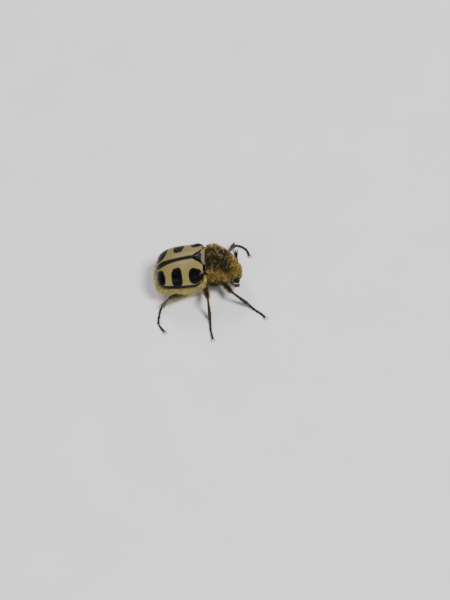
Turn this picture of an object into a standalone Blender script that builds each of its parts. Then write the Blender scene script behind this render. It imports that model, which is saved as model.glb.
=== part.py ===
"""A bee chafer at life size, standing on a flat floor with its head bent down and its feelers spread.

It faces -Y, its left side is at +X, and its feet stand on small flats at Z = 0.
Places are given as (forward, left, up) in millimetres from the point of the floor under the base of the
wing cases, and at() turns them into metres. Every other length is in metres.
"""

import math
import random
from collections import namedtuple

import bmesh
import bpy
from mathutils import Matrix, Vector
from mathutils.bvhtree import BVHTree

MM = 0.001
GAP = 0.1 * MM
WELD = 0.002 * MM

# Where the box of the whole beetle is centred, so that the origin is under its middle
STANCE_SHIFT = (1.15 * MM, 0.0)

# The pair of wing cases, from the base by the pronotum back to the tips
CASE_BASE = -0.2
CASE_LENGTH = 5.68
CASE_HALF_WIDTH = 2.9
CASE_TOP = 5.3
CASE_THICKNESS = 0.45
MARGIN_HEIGHT = 3.3
MARGIN_REAR_DROP = 0.2
SHOULDER_LIFT = 0.6
SHOULDER_TAPER = 0.12
SHOULDER_REACH = 0.24
SHOULDER_BUMP = 0.12
SHOULDER_PLACE = (0.6, 0.8)
SHOULDER_SPREAD = (0.45, 0.16)
SHOULDER_SLOPE = 0.3
SHOULDER_SLOPE_REACH = 1.6
BASE_DIP = 0.12
CASE_ROUNDNESS = 2.4
PLAN_ROUNDNESS = 3.7
BACK_ROUNDNESS = 2.0
BODY_ROUNDNESS = 2.2
SUTURE_HALF_GAP = 0.05
SCUTELLUM_LENGTH = 1.3
SCUTELLUM_HALF_WIDTH = 0.68
SCUTELLUM_RAISE = 0.04
# How far the scutellum's front edge stands out before the wing cases
SCUTELLUM_REACH = 0.03
SCUTELLUM_POINT = 2.0
# The scutellum's front corners, which reach out along the base of the wing cases
SCUTELLUM_FLARE = 0.45
SCUTELLUM_FLARE_REACH = 0.65
# Shares of the length where the plan, the back and the margin start to fall towards the tips
PLAN_START = 0.38
BACK_START = 0.0
DROP_START = 0.6

# How far the coat stands off the skin, and how much of that depth the solid core takes up
PRONOTUM_COAT = 0.38
SIDE_COAT = 0.75
REAR_COAT = 0.5
CORE_SHARE = 0.4
BELLY_COAT_SHARE = 0.24

# A lock of the coat: widest at its root, which is sunk into the core, and bent over by these angles
LOCK_WIDTH = 0.9
LOCK_THICKNESS = 0.34
LOCK_SINK = 0.16
LOCK_LEANS = (44, 66, 82)
LOCK_RUNS = (0.36, 0.34, 0.3)
LOCK_TAPER = (0.92, 1.0, 0.72, 0.12)
LOCK_SPACING = 0.75
# How much a lock's place round the body, its place along it, its length and its lean in degrees vary
LOCK_JITTER = 0.14
ROW_JITTER = 0.02
LENGTH_JITTER = 0.12
LEAN_SPAN = (-6, 8)
# Shares of a coated part's length where its first and last row of locks stand
FIRST_ROW = 0.04
LAST_ROW = 0.96
# The part's length and girth are sampled in this many steps to stand the locks on
LENGTH_STEPS = 12
GIRTH_STEPS = 40
# Tries at fitting a lock beside its neighbours: shares of its length and of its lean
LOCK_TRIES = ((1, 1), (0.85, 0.8), (0.75, 0.6), (0.65, 0.3), (0.5, 0))
SEED = 11

# The locks on a part: rows of them, their length, and the way that they point: sideways, back and up
Fur = namedtuple("Fur", "rows length sideways back up")
PRONOTUM_FUR = Fur(7, 0.82, 0.5, 1.0, -0.3)
FLANK_FUR = Fur(5, 1.05, 0.3, 0.9, -0.6)
REAR_FUR = Fur(4, 0.72, 0.0, 0.6, -0.8)
# The turns round a section, from its left end over the top, that the locks cover
PRONOTUM_TURNS = (-0.3, math.pi + 0.3)
FLANK_TURNS = ((-math.pi + 0.06, -math.pi * 0.62), (-math.pi * 0.38, -0.06))
REAR_TURNS = (0, 2 * math.pi)

EYE_PLACE = (3.2, 1.07, 1.82)
EYE_RADII = (0.36, 0.43, 0.42)
# The middle of the head, which the eyes face away from
EYE_ORIGIN = (2.58, 0, 1.66)
FOOT_HEIGHT = 0.17
FOOT_RADIUS = 0.24
CLAW_LENGTH = 0.5
CLAW_RADII = (0.1, 0.08, 0.03)
CLAW_SPREAD = 0.5
# A claw starts this far back inside the last toe joint, rises over its middle and ends lower
CLAW_ROOT = 0.16
CLAW_RISE = 0.04
CLAW_DROP = 0.12
COXA_RADIUS = 0.42
COXA_PROFILE = ((0.0, 1.15), (0.55, 1.2), (1.0, 0.85))
# Teeth on the outer edge of a front tibia: places along it, and each one's (out, along) and radius
TOOTH_SHARES = (0.58, 0.86)
TOOTH_PATH = ((0, 0, 0.18), (0.42, 0.1, 0.13), (0.62, 0.24, 0.03))

CASE_ROWS = 15
CASE_COLUMNS = 10
CASE_CROWDING = 1.15
RING_SIDES = 28
LIMB_SIDES = 10

# Colours and finish of each material: base colour, roughness
COLOURS = {
    "cream_case": ((0.72, 0.6, 0.3), 0.35),
    "black_shell": ((0.02, 0.018, 0.016), 0.35),
    "golden_coat": ((0.5, 0.38, 0.14), 0.8),
    "black_eye": ((0.012, 0.01, 0.01), 0.15),
    "brown_feeler": ((0.12, 0.05, 0.025), 0.4),
}

# A tilted section: its pitch is nose-down in degrees, rise and depth are above and below its centre
Section = namedtuple("Section", "forward height pitch width rise depth")
PROTHORAX = (
    Section(-0.05, 3.52, 3, 1.74, 1.52, 1.8),
    Section(0.6, 3.47, 8, 1.98, 1.64, 1.95),
    Section(1.4, 3.24, 21, 1.92, 1.56, 1.85),
    Section(2.05, 2.9, 34, 1.64, 1.34, 1.5),
    Section(2.52, 2.54, 47, 1.36, 1.08, 1.12),
    Section(2.7, 2.32, 54, 1.14, 0.84, 0.82),
)
HEAD = (
    Section(2.78, 2.22, 55, 0.95, 0.7, 0.7),
    Section(2.88, 2.0, 59, 1.1, 0.8, 0.76),
    Section(2.97, 1.7, 63, 1.1, 0.74, 0.68),
    Section(3.05, 1.36, 67, 0.9, 0.5, 0.48),
    Section(3.13, 1.04, 70, 0.8, 0.34, 0.36),
    Section(3.19, 0.78, 72, 0.74, 0.25, 0.25),
)
PYGIDIUM = (
    Section(-5.15, 2.18, 0, 2.2, 0.8, 0.75),
    Section(-5.4, 2.2, 0, 2.12, 0.78, 0.72),
    Section(-5.62, 2.22, 0, 1.72, 0.7, 0.66),
    Section(-5.78, 2.22, 0, 1.1, 0.48, 0.48),
    Section(-5.86, 2.22, 0, 0.5, 0.22, 0.22),
)

# A section of the trunk under the wing cases: half width at their margin, height of the belly, roundness
Trunk = namedtuple("Trunk", "forward width belly roundness")
METATHORAX = (
    Trunk(-0.18, 1.85, 1.6, 2.2),
    Trunk(-0.7, 2.1, 1.35, 2.2),
    Trunk(-1.5, 2.4, 1.1, 2.2),
    Trunk(-2.2, 2.55, 1.0, 2.1),
    Trunk(-2.6, 2.6, 1.0, 2.0),
)
ABDOMEN = (
    Trunk(-2.7, 2.62, 1.0, 2.0),
    Trunk(-3.4, 2.65, 0.98, 1.9),
    Trunk(-4.2, 2.55, 1.1, 1.9),
    Trunk(-4.8, 2.35, 1.3, 1.9),
    Trunk(-5.05, 2.2, 1.45, 1.9),
)

# Half thickness across and along each leg's plane, and how it varies from root to end
FEMUR_RADII = {"front": (0.31, 0.4), "mid": (0.31, 0.4), "hind": (0.34, 0.46)}
TIBIA_RADII = {"front": (0.25, 0.32), "mid": (0.25, 0.27), "hind": (0.26, 0.29)}
FEMUR_PROFILE = ((0.0, 0.72), (0.12, 0.92), (0.45, 1.0), (0.78, 0.82), (1.0, 0.7))
TIBIA_PROFILE = ((0.0, 0.85), (0.16, 0.88), (0.6, 1.0), (0.88, 1.2), (1.0, 1.02))
TOE_PROFILE = ((0.0, 0.85), (0.1, 0.78), (0.17, 1.0), (0.21, 0.8), (0.34, 0.98), (0.38, 0.78), (0.5, 0.95))
TOE_PROFILE += ((0.54, 0.76), (0.66, 0.92), (0.7, 0.72), (0.88, 0.78), (1.0, 0.9))

# Each leg from the socket inside the body to the hip, the knee, the ankle and along the toes on the floor
Leg = namedtuple("Leg", "pair socket hip knee ankle toes")
LEGS = {
    "front_right": Leg(
        "front", (1.5, -0.45, 2.0), (1.55, -0.8, 1.3), (2.53, -2.87, 2.1), (4.27, -3.55, 0.42),
        ((5.05, -4.25), (5.8, -4.95), (6.1, -5.4)),
    ),
    "front_left": Leg(
        "front", (1.5, 0.45, 2.0), (1.55, 0.8, 1.3), (2.2, 3.1, 1.75), (2.91, 5.28, 0.42),
        ((3.64, 5.32), (4.33, 4.72), (4.6, 3.9)),
    ),
    "mid_right": Leg(
        "mid", (-0.6, -0.7, 1.9), (-0.55, -1.1, 1.15), (-0.13, -3.79, 2.5), (-0.09, -5.08, 0.42),
        ((-0.06, -5.85), (-0.03, -6.8), (0.16, -7.95)),
    ),
    "mid_left": Leg(
        "mid", (-0.6, 0.7, 1.9), (-0.55, 1.1, 1.15), (-0.3, 3.65, 2.2), (-0.3, 5.05, 0.4),
        ((-0.8, 5.62), (-1.6, 5.78), (-2.75, 5.6)),
    ),
    "hind_right": Leg(
        "hind", (-2.2, -1.2, 1.7), (-2.35, -1.7, 1.0), (-4.42, -3.58, 2.6), (-5.52, -2.96, 0.42),
        ((-5.85, -3.9), (-5.95, -5.3), (-5.35, -6.45)),
    ),
    "hind_left": Leg(
        "hind", (-2.2, 1.2, 1.7), (-2.35, 1.7, 1.0), (-4.0, 3.5, 2.4), (-5.05, 3.3, 0.4),
        ((-5.3, 3.95), (-4.85, 5.05), (-3.75, 5.6)),
    ),
}

# Each feeler from its root beside the eye to the end of its club
FEELER_PATH = ((3.3, 1.0, 1.06), (3.4, 1.33, 1.2), (3.4, 1.65, 1.48), (3.33, 1.93, 1.82))
FEELER_RADII = (0.24, 0.27, 0.22, 0.24)
FEELER_END_RADIUS = 0.2
CLUB_PLACE = (3.24, 2.13, 2.1)
CLUB_END = (3.2, 2.5, 2.54)
CLUB_RADII = (0.17, 0.27, 0.56)
CLUB_REACH = 0.35
CLUB_SPREAD = 0.14
CLUB_FAN = 6

# The lower lip and a palp under the head: each place, and its radii in millimetres
LIP = (((2.22, 0, 1.24), (0.2, 0.45)), ((2.34, 0, 0.96), (0.22, 0.5)), ((2.54, 0, 0.7), (0.16, 0.3)))
PALP = (((2.37, 0.3, 0.88), 0.18), ((2.54, 0.6, 0.65), 0.17), ((2.84, 0.64, 0.5), 0.1))


def at(forward, left, up):
    """A point of the beetle, given in millimetres, in the world frame in metres."""
    return Vector((left * MM + STANCE_SHIFT[0], -forward * MM + STANCE_SHIFT[1], up * MM))


def clear_scene():
    for obj in list(bpy.data.objects):
        bpy.data.objects.remove(obj)


def material(name):
    found = bpy.data.materials.get(name)
    if found:
        return found
    colour, roughness = COLOURS[name]
    made = bpy.data.materials.new(name)
    made.use_nodes = True
    shader = made.node_tree.nodes["Principled BSDF"]
    shader.inputs["Base Color"].default_value = (*colour, 1)
    shader.inputs["Roughness"].default_value = roughness
    made.diffuse_color = (*colour, 1)
    return made


def smooth_through(rows, steps):
    """Rows of numbers on a Catmull-Rom curve through the given rows, with this many steps between two of them."""
    before = [2 * a - b for a, b in zip(rows[0], rows[1])]
    after = [2 * a - b for a, b in zip(rows[-1], rows[-2])]
    knots = [before, *rows, after]
    curve = []
    for p0, p1, p2, p3 in zip(knots, knots[1:], knots[2:], knots[3:]):
        for step in range(steps):
            t = step / steps
            curve.append([
                b + 0.5 * t * (c - a + t * (2 * a - 5 * b + 4 * c - d + t * (3 * b - a - 3 * c + d)))
                for a, b, c, d in zip(p0, p1, p2, p3)
            ])
    curve.append(list(rows[-1]))
    return curve


def rounded(turn, roundness):
    """A point of a superellipse of half sizes 1 at this turn from its left end, as (left, up)."""
    left, up = math.cos(turn), math.sin(turn)
    power = 2 / roundness
    return math.copysign(abs(left) ** power, left), math.copysign(abs(up) ** power, up)


def coat_share(turn):
    """How deep the coat is round a section, against its depth on the back: 1 on top and less below."""
    return (1 + BELLY_COAT_SHARE) / 2 + (1 - BELLY_COAT_SHARE) / 2 * math.sin(turn)


def closed_mesh(rings):
    """One closed body through rings of equal numbers of points, with a flat face over each end."""
    shape = bmesh.new()
    rows = [[shape.verts.new(point) for point in ring] for ring in rings]
    for first, second in zip(rows, rows[1:]):
        for k in range(len(first)):
            nxt = (k + 1) % len(first)
            shape.faces.new((first[k], first[nxt], second[nxt], second[k]))
    shape.faces.new(rows[0])
    shape.faces.new(rows[-1])
    return tidied(shape)


def tidied(shape):
    """The shape with doubled points merged, in triangles, facing out."""
    bmesh.ops.remove_doubles(shape, verts=shape.verts, dist=WELD)
    bmesh.ops.triangulate(shape, faces=shape.faces)
    bmesh.ops.recalc_face_normals(shape, faces=shape.faces)
    return shape


def plate(outer, inner):
    """One closed body between two grids of equal size, which face each other."""
    shape = bmesh.new()
    grids = [[[shape.verts.new(point) for point in row] for row in grid] for grid in (outer, inner)]
    last_row, last = len(outer) - 1, len(outer[0]) - 1
    for grid in grids:
        for i in range(last_row):
            for j in range(last):
                shape.faces.new((grid[i][j], grid[i + 1][j], grid[i + 1][j + 1], grid[i][j + 1]))
    top, under = grids
    for i in (0, last_row):
        for j in range(last):
            shape.faces.new((top[i][j], top[i][j + 1], under[i][j + 1], under[i][j]))
    for j in (0, last):
        for i in range(last_row):
            shape.faces.new((top[i][j], top[i + 1][j], under[i + 1][j], under[i][j]))
    return tidied(shape)


def object_of(name, shape, parent=None, place=None):
    """A mesh object of this shape, whose own frame is the matrix place."""
    place = place or Matrix()
    shape.transform(place.inverted())
    mesh = bpy.data.meshes.new(name)
    shape.to_mesh(mesh)
    shape.free()
    obj = bpy.data.objects.new(name, mesh)
    obj.parent = parent
    obj.matrix_basis = place
    return obj


def combined(shape, pieces, operation):
    """The shape joined with or cut by closed pieces, in one Boolean on a collection of them."""
    group = bpy.data.collections.new("pieces")
    bpy.context.scene.collection.children.link(group)
    for piece in pieces:
        group.objects.link(object_of("piece", piece))
    base = object_of("base", shape)
    bpy.context.scene.collection.objects.link(base)
    modifier = base.modifiers.new("combine", "BOOLEAN")
    modifier.operation = operation
    modifier.solver = "EXACT"
    modifier.operand_type = "COLLECTION"
    modifier.collection = group
    graph = bpy.context.evaluated_depsgraph_get()
    mesh = bpy.data.meshes.new_from_object(base.evaluated_get(graph))
    for obj in [base, *group.objects]:
        bpy.data.objects.remove(obj)
    bpy.data.collections.remove(group)
    result = bmesh.new()
    result.from_mesh(mesh)
    bpy.data.meshes.remove(mesh)
    bmesh.ops.triangulate(result, faces=result.faces)
    return largest(result)


def largest(shape):
    """The shape with only its closed surface of most volume."""
    unseen = set(shape.faces)
    surfaces = []
    while unseen:
        grown = [unseen.pop()]
        for face in grown:
            for edge in face.edges:
                for other in edge.link_faces:
                    if other in unseen:
                        unseen.remove(other)
                        grown.append(other)
        surfaces.append(grown)

    def volume(faces):
        corners = ([v.co for v in face.verts] for face in faces)
        return abs(sum(a.dot(b.cross(c)) for a, b, c in corners))

    keep = max(surfaces, key=volume)
    loose = [face for surface in surfaces if surface is not keep for face in surface]
    bmesh.ops.delete(shape, geom=loose, context="FACES")
    return shape


def node(name, shape, finish, root, parent, direction=None):
    """A finished sub-part, with its origin at its root and, on a limb, its own Z along the limb."""
    turn = direction.to_track_quat("Z", "Y").to_matrix().to_4x4() if direction else Matrix()
    obj = object_of(name, shape, parent, Matrix.Translation(root) @ turn)
    bpy.context.scene.collection.objects.link(obj)
    obj.data.materials.append(material(finish))
    obj.data.shade_smooth()
    obj.data.set_sharp_from_angle(angle=math.radians(50))
    return obj


def section_point(section, turn, coat):
    """A point of a tilted body section, grown by the coat."""
    pitch = math.radians(section.pitch)
    left, up = rounded(turn, BODY_ROUNDNESS)
    grown = coat * coat_share(turn)
    left *= section.width + grown
    up *= (section.rise if up > 0 else section.depth) + grown
    return at(section.forward + up * math.sin(pitch), left, section.height + up * math.cos(pitch))


def section_rings(sections, coat):
    turns = [2 * math.pi * k / RING_SIDES for k in range(RING_SIDES)]
    rows = [Section(*row) for row in smooth_through(sections, 2)]
    return [[section_point(row, turn, coat) for turn in turns] for row in rows]


def falloff(along, start, roundness):
    """1 up to the start, then down to 0 at 1 along a superellipse."""
    return (1 - max(0, (along - start) / (1 - start)) ** roundness) ** (1 / roundness)


def case_size(back, inset=0.0):
    """Half width, margin height and top height of the wing cases at a distance behind their base."""
    along = min(max(back / (CASE_LENGTH - inset), 0), 1)
    front = max(0, 1 - along / SHOULDER_REACH) ** 2
    rear = max(0, (along - DROP_START) / (1 - DROP_START)) ** 2
    width = CASE_HALF_WIDTH - inset
    width *= (1 - SHOULDER_TAPER * front) * falloff(along, PLAN_START, PLAN_ROUNDNESS)
    margin = MARGIN_HEIGHT + SHOULDER_LIFT * front - MARGIN_REAR_DROP * rear
    tip = MARGIN_HEIGHT - MARGIN_REAR_DROP
    top = tip + (CASE_TOP - inset - tip) * falloff(along, BACK_START, BACK_ROUNDNESS) - BASE_DIP * front
    return width, margin, max(top, margin + 0.01)


def set_back(share, back):
    """How far back a section's point lies, at a share of its half width, which rounds the shoulders."""
    return SHOULDER_SLOPE * abs(share) ** 3 * max(0, 1 - max(0, back) / SHOULDER_SLOPE_REACH)


def scutellum_width(back):
    along = max(0, back)
    flare = SCUTELLUM_FLARE * max(0, 1 - along / SCUTELLUM_FLARE_REACH)
    return flare + SCUTELLUM_HALF_WIDTH * max(0, 1 - (along / SCUTELLUM_LENGTH) ** SCUTELLUM_POINT)


def case_row(back, side, columns, inset):
    """One row of a wing case's surface, from its inner edge out to its margin."""
    width, margin, top = case_size(back, inset)
    edge = SUTURE_HALF_GAP
    if back < SCUTELLUM_LENGTH:
        edge = max(edge, scutellum_width(back) + GAP / MM)
    width = max(width, edge + 0.02)
    start = math.asin((edge / width) ** (CASE_ROUNDNESS / 2))
    points = []
    for k in range(columns + 1):
        turn = start + (math.pi / 2 - start) * k / columns
        left, up = rounded(math.pi / 2 - turn, CASE_ROUNDNESS)
        offsets = zip((back, left), SHOULDER_PLACE, SHOULDER_SPREAD)
        bump = SHOULDER_BUMP * math.exp(-sum(((a - b) / c) ** 2 for a, b, c in offsets))
        swell = 1 + (bump / width if inset == 0 else 0)
        forward = CASE_BASE - back - set_back(left, back)
        points.append(at(forward, side * left * width * swell, margin + up * (top - margin) * swell))
    return points


def wing_case(side):
    """A wing case, whose rows of points crowd towards the tip, where it curves most."""
    grids = []
    for inset in (0.0, CASE_THICKNESS):
        shares = [math.sin(math.pi / 2 * i / CASE_ROWS) ** CASE_CROWDING for i in range(CASE_ROWS + 1)]
        backs = [(CASE_LENGTH - inset) * share for share in shares]
        grids.append([case_row(back, side, CASE_COLUMNS, inset) for back in backs])
    return plate(*grids)


def scutellum():
    """The small plate between the bases of the wing cases, level with their backs."""
    rows, columns = 6, 6
    grids = []
    for lift in (SCUTELLUM_RAISE, SCUTELLUM_RAISE - CASE_THICKNESS):
        grid = []
        for i in range(rows + 1):
            back = SCUTELLUM_LENGTH * i / rows
            half = scutellum_width(back)
            width, margin, top = case_size(back)
            row = []
            for j in range(columns + 1):
                left = half * (2 * j / columns - 1)
                crown = (1 - abs(left / width) ** CASE_ROUNDNESS) ** (1 / CASE_ROUNDNESS)
                row.append(at(CASE_BASE + SCUTELLUM_REACH - back, left, margin + (top - margin) * crown + lift))
            grid.append(row)
        grids.append(grid)
    return plate(*grids)


def ledge_height(station):
    """Where the trunk's side ends, a gap under the margin of the wing cases."""
    return case_size(CASE_BASE - station.forward)[1] - GAP / MM


def flank_point(station, turn, coat):
    """A point of the trunk's side or belly, at a turn from -180 degrees, through the belly at -90, to 0."""
    ledge = ledge_height(station)
    left, up = rounded(turn, station.roundness)
    grown = coat * coat_share(turn)
    forward = station.forward - set_back(left, CASE_BASE - station.forward)
    return at(forward, left * (station.width + grown), ledge + up * (ledge - station.belly + grown))


def trunk_rings(stations, coat):
    """Rings of the trunk: the belly up to the margin of the wing cases, then the back that they cover."""
    half = RING_SIDES // 2
    rings = []
    for row in smooth_through(stations, 2):
        station = Trunk(*row)
        ledge = ledge_height(station)
        cover, _, top = case_size(CASE_BASE - station.forward, CASE_THICKNESS + GAP / MM)
        ring = [flank_point(station, math.pi * (k / half - 1), coat) for k in range(half + 1)]
        for k in range(half + 1):
            left, up = rounded(math.pi * k / half, CASE_ROUNDNESS)
            forward = station.forward - set_back(left, CASE_BASE - station.forward)
            ring.append(at(forward, left * cover, ledge + up * (top - ledge)))
        rings.append(ring)
    return rings


def hind_point(section, turn, coat):
    """A point of the hind end, which the coat makes rounder and longer towards its tip."""
    share = (PYGIDIUM[0].forward - section.forward) / (PYGIDIUM[0].forward - PYGIDIUM[-1].forward)
    return section_point(section._replace(forward=section.forward - coat * share), turn, coat * share)


def hind_rings(coat):
    turns = [2 * math.pi * k / RING_SIDES for k in range(RING_SIDES)]
    rows = [Section(*row) for row in smooth_through(PYGIDIUM, 2)]
    return [[hind_point(row, turn, coat) for turn in turns] for row in rows]


def lock(root, out, lie, length, lean, draw, grow=0.0):
    """A flat tapered lock, four-sided and bent over towards its lie. Grown, it is the room that it needs."""
    across = out.cross(lie).normalized()
    path = [root - out * LOCK_SINK * MM]
    for angle, share in zip(LOCK_LEANS, LOCK_RUNS):
        tilt = math.radians(angle * lean + draw)
        path.append(path[-1] + (out * math.cos(tilt) + lie * math.sin(tilt)) * (length + grow) * share * MM)
    rings = []
    for k, size in enumerate(LOCK_TAPER):
        run = (path[min(k + 1, 3)] - path[max(k - 1, 0)]).normalized()
        wide = across * (LOCK_WIDTH * size / 2 + grow) * MM
        deep = run.cross(across) * (LOCK_THICKNESS * size / 2 + grow) * MM
        rings.append([path[k] + step for step in (wide, deep, -wide, -deep)])
    return closed_mesh(rings)


def tree_of(shape):
    return BVHTree.FromBMesh(shape)


def fitted_lock(root, out, lie, length, draw, obstacles):
    """The longest and most bent lock of the tries that keeps a gap to its neighbours, or none."""
    for share, lean in LOCK_TRIES:
        room = lock(root, out, lie, length * share, lean, draw, GAP / MM)
        tree = tree_of(room)
        room.free()
        if not any(tree.overlap(obstacle) for obstacle in obstacles):
            return lock(root, out, lie, length * share, lean, draw)
    return None


def coat_of(point_at, stations, turns, coat, fur, obstacles):
    """Locks over a body's surface, row behind row and staggered, lying the way that the fur points.

    point_at(station, turn, coat) is the surface that they stand on, and turns is the span that they cover.
    """
    dice = random.Random(SEED)
    kind = type(stations[0])
    fine = [kind(*row) for row in smooth_through(stations, LENGTH_STEPS)]
    last = len(fine) - 1
    start, stop = turns
    locks = []
    for row in range(fur.rows):
        place = FIRST_ROW + (LAST_ROW - FIRST_ROW) * row / (fur.rows - 1)
        ring = fine[round(place * last)]
        steps = [start + (stop - start) * k / GIRTH_STEPS for k in range(GIRTH_STEPS + 1)]
        girth = [point_at(ring, turn, coat) for turn in steps]
        count = max(3, round(sum((b - a).length for a, b in zip(girth, girth[1:])) / (LOCK_SPACING * MM)))
        for k in range(count):
            share = (k + 0.25 + 0.5 * (row % 2) + dice.uniform(-LOCK_JITTER, LOCK_JITTER)) / count
            turn = start + (stop - start) * share
            here = round((place + dice.uniform(-ROW_JITTER, ROW_JITTER)) * last)
            here = min(max(here, 1), last - 1)
            root = point_at(fine[here], turn, coat)
            along = point_at(fine[here + 1], turn, coat) - point_at(fine[here - 1], turn, coat)
            round_it = point_at(fine[here], turn + 0.05, coat) - point_at(fine[here], turn - 0.05, coat)
            out = along.cross(round_it).normalized()
            middle = (point_at(fine[here], start, coat) + point_at(fine[here], stop, coat)) / 2
            middle = (middle + point_at(fine[here], (start + stop) / 2, coat)) / 2
            if out.dot(root - middle) < 0:
                out = -out
            flow = Vector((fur.sideways * out.x, fur.back, fur.up))
            lie = flow - out * flow.dot(out)
            if lie.length < 0.05:
                lie = along
            size = fur.length * dice.uniform(1 - LENGTH_JITTER, 1 + LENGTH_JITTER)
            grown = fitted_lock(root, out, lie.normalized(), size, dice.uniform(*LEAN_SPAN), obstacles)
            if grown:
                locks.append(grown)
    return locks


def tube(points, radii, reference, first=None, last=None, sides=LIMB_SIDES):
    """A closed limb of elliptical rings square to its path, whose end rings lie in the planes of its joints."""
    rings = []
    for k, (point, (across, deep)) in enumerate(zip(points, radii)):
        tangent = (points[min(k + 1, len(points) - 1)] - points[max(k - 1, 0)]).normalized()
        if k == 0 and first:
            tangent = first
        if k == len(points) - 1 and last:
            tangent = last
        side = (reference - tangent * reference.dot(tangent)).normalized()
        other = tangent.cross(side)
        ring = []
        for corner in range(sides):
            turn = 2 * math.pi * (corner + 0.5) / sides
            ring.append(point + (side * math.cos(turn) * across + other * math.sin(turn) * deep) * MM)
        rings.append(ring)
    return closed_mesh(rings)


def between(start, stop, share):
    return start + (stop - start) * share


def limb(start, stop, radii, profile, reference, first, last, grow=0.0):
    """A straight length of leg between two joint planes, half a gap short of each."""
    start = start + first * GAP / 2
    stop = stop - last * GAP / 2
    points = [between(start, stop, share) for share, _ in profile]
    sizes = [(radii[0] * size + grow, radii[1] * size + grow) for _, size in profile]
    return tube(points, sizes, reference, first, last)


def joint_planes(leg):
    """The normals of the planes at a leg's hip, knee and ankle, which halve the bend there."""
    stops = [at(*leg.socket), at(*leg.hip), at(*leg.knee), at(*leg.ankle), at(*leg.toes[0], FOOT_HEIGHT)]
    runs = [(b - a).normalized() for a, b in zip(stops, stops[1:])]
    return [(a + b).normalized() for a, b in zip(runs, runs[1:])]


def leg_normal(leg):
    return (at(*leg.knee) - at(*leg.hip)).cross(at(*leg.ankle) - at(*leg.knee)).normalized()


def coxa(leg):
    hip_plane = joint_planes(leg)[0]
    start, stop = at(*leg.socket), at(*leg.hip) - hip_plane * GAP / 2
    points = [between(start, stop, share) for share, _ in COXA_PROFILE]
    sizes = [(COXA_RADIUS * size, COXA_RADIUS * size) for _, size in COXA_PROFILE]
    return tube(points, sizes, leg_normal(leg), None, hip_plane)


def femur(leg, grow=0.0):
    hip_plane, knee_plane, _ = joint_planes(leg)
    radii = FEMUR_RADII[leg.pair]
    return limb(at(*leg.hip), at(*leg.knee), radii, FEMUR_PROFILE, leg_normal(leg), hip_plane, knee_plane, grow)


def tibia(leg):
    _, knee_plane, ankle_plane = joint_planes(leg)
    radii = TIBIA_RADII[leg.pair]
    shape = limb(at(*leg.knee), at(*leg.ankle), radii, TIBIA_PROFILE, leg_normal(leg), knee_plane, ankle_plane)
    if leg.pair != "front":
        return shape
    run = (at(*leg.ankle) - at(*leg.knee)).normalized()
    outward = leg_normal(leg).cross(run)
    outward *= math.copysign(1, outward.z)
    teeth = []
    for share in TOOTH_SHARES:
        root = between(at(*leg.knee), at(*leg.ankle), share)
        path = [root + (outward * out + run * along) * MM for out, along, _ in TOOTH_PATH]
        teeth.append(tube(path, [(size, size) for _, _, size in TOOTH_PATH], leg_normal(leg), sides=6))
    return combined(shape, teeth, "UNION")


def pressed_flat(shape):
    """The shape with everything under the floor pressed up to it."""
    for vert in shape.verts:
        vert.co.z = max(vert.co.z, 0)
    return shape


def tarsus(leg):
    """The foot: five toe joints along the floor, ending in two claws."""
    ankle_plane = joint_planes(leg)[2]
    ankle = at(*leg.ankle) + ankle_plane * GAP / 2
    knots = [tuple(ankle), *(tuple(at(*toe, FOOT_HEIGHT)) for toe in leg.toes)]
    fine = [Vector(row) for row in smooth_through(knots, 20)]
    up = Vector((0, 0, 1))
    points = [fine[round(share * (len(fine) - 1))] for share, _ in TOE_PROFILE]
    sizes = [(FOOT_RADIUS * size, FOOT_RADIUS * size) for _, size in TOE_PROFILE]
    foot = pressed_flat(tube(points, sizes, up, ankle_plane))
    heading = (points[-1] - points[-2]).normalized()
    aside = heading.cross(up).normalized()
    claws = []
    for turn in (-CLAW_SPREAD, CLAW_SPREAD):
        run = (heading + aside * turn).normalized()
        root = points[-1] + (aside * turn - heading) * CLAW_ROOT * MM
        bend = root + run * CLAW_LENGTH * 0.55 * MM + up * CLAW_RISE * MM
        end = root + run * CLAW_LENGTH * MM - up * CLAW_DROP * MM
        claws.append(tube([root, bend, end], [(size, size) for size in CLAW_RADII], up, sides=6))
    return combined(foot, claws, "UNION")


def ellipsoid(centre, radii, direction, grow=0.0):
    turn = direction.to_track_quat("Z", "Y").to_matrix().to_4x4()
    size = Matrix.Diagonal([(radius + grow) * MM for radius in radii]).to_4x4()
    shape = bmesh.new()
    place = Matrix.Translation(centre) @ turn @ size
    bmesh.ops.create_uvsphere(shape, u_segments=12, v_segments=8, radius=1, matrix=place)
    return tidied(shape)


def mirrored(place, side):
    return at(place[0], place[1] * side, place[2])


def eye(side, grow=0.0):
    forward_left = mirrored(EYE_PLACE, side) - at(*EYE_ORIGIN)
    return ellipsoid(mirrored(EYE_PLACE, side), EYE_RADII, forward_left.normalized(), grow)


def feeler(side):
    """A feeler: a stalk of short joints that ends in a club of three leaves."""
    path = [mirrored(place, side) for place in (*FEELER_PATH, CLUB_PLACE)]
    radii = [(radius, radius) for radius in (*FEELER_RADII, FEELER_END_RADIUS)]
    stalk = tube(path, radii, Vector((0, 0, 1)))
    along = (mirrored(CLUB_END, side) - mirrored(CLUB_PLACE, side)).normalized()
    across = along.cross(Vector((0, 0, 1))).normalized()
    leaves = []
    for leaf in (-1, 0, 1):
        heading = (along + across * leaf * math.tan(math.radians(CLUB_FAN))).normalized()
        centre = mirrored(CLUB_PLACE, side) + (along * CLUB_REACH + across * leaf * CLUB_SPREAD) * MM
        leaves.append(ellipsoid(centre, CLUB_RADII, heading))
    return combined(stalk, leaves, "UNION")


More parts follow.
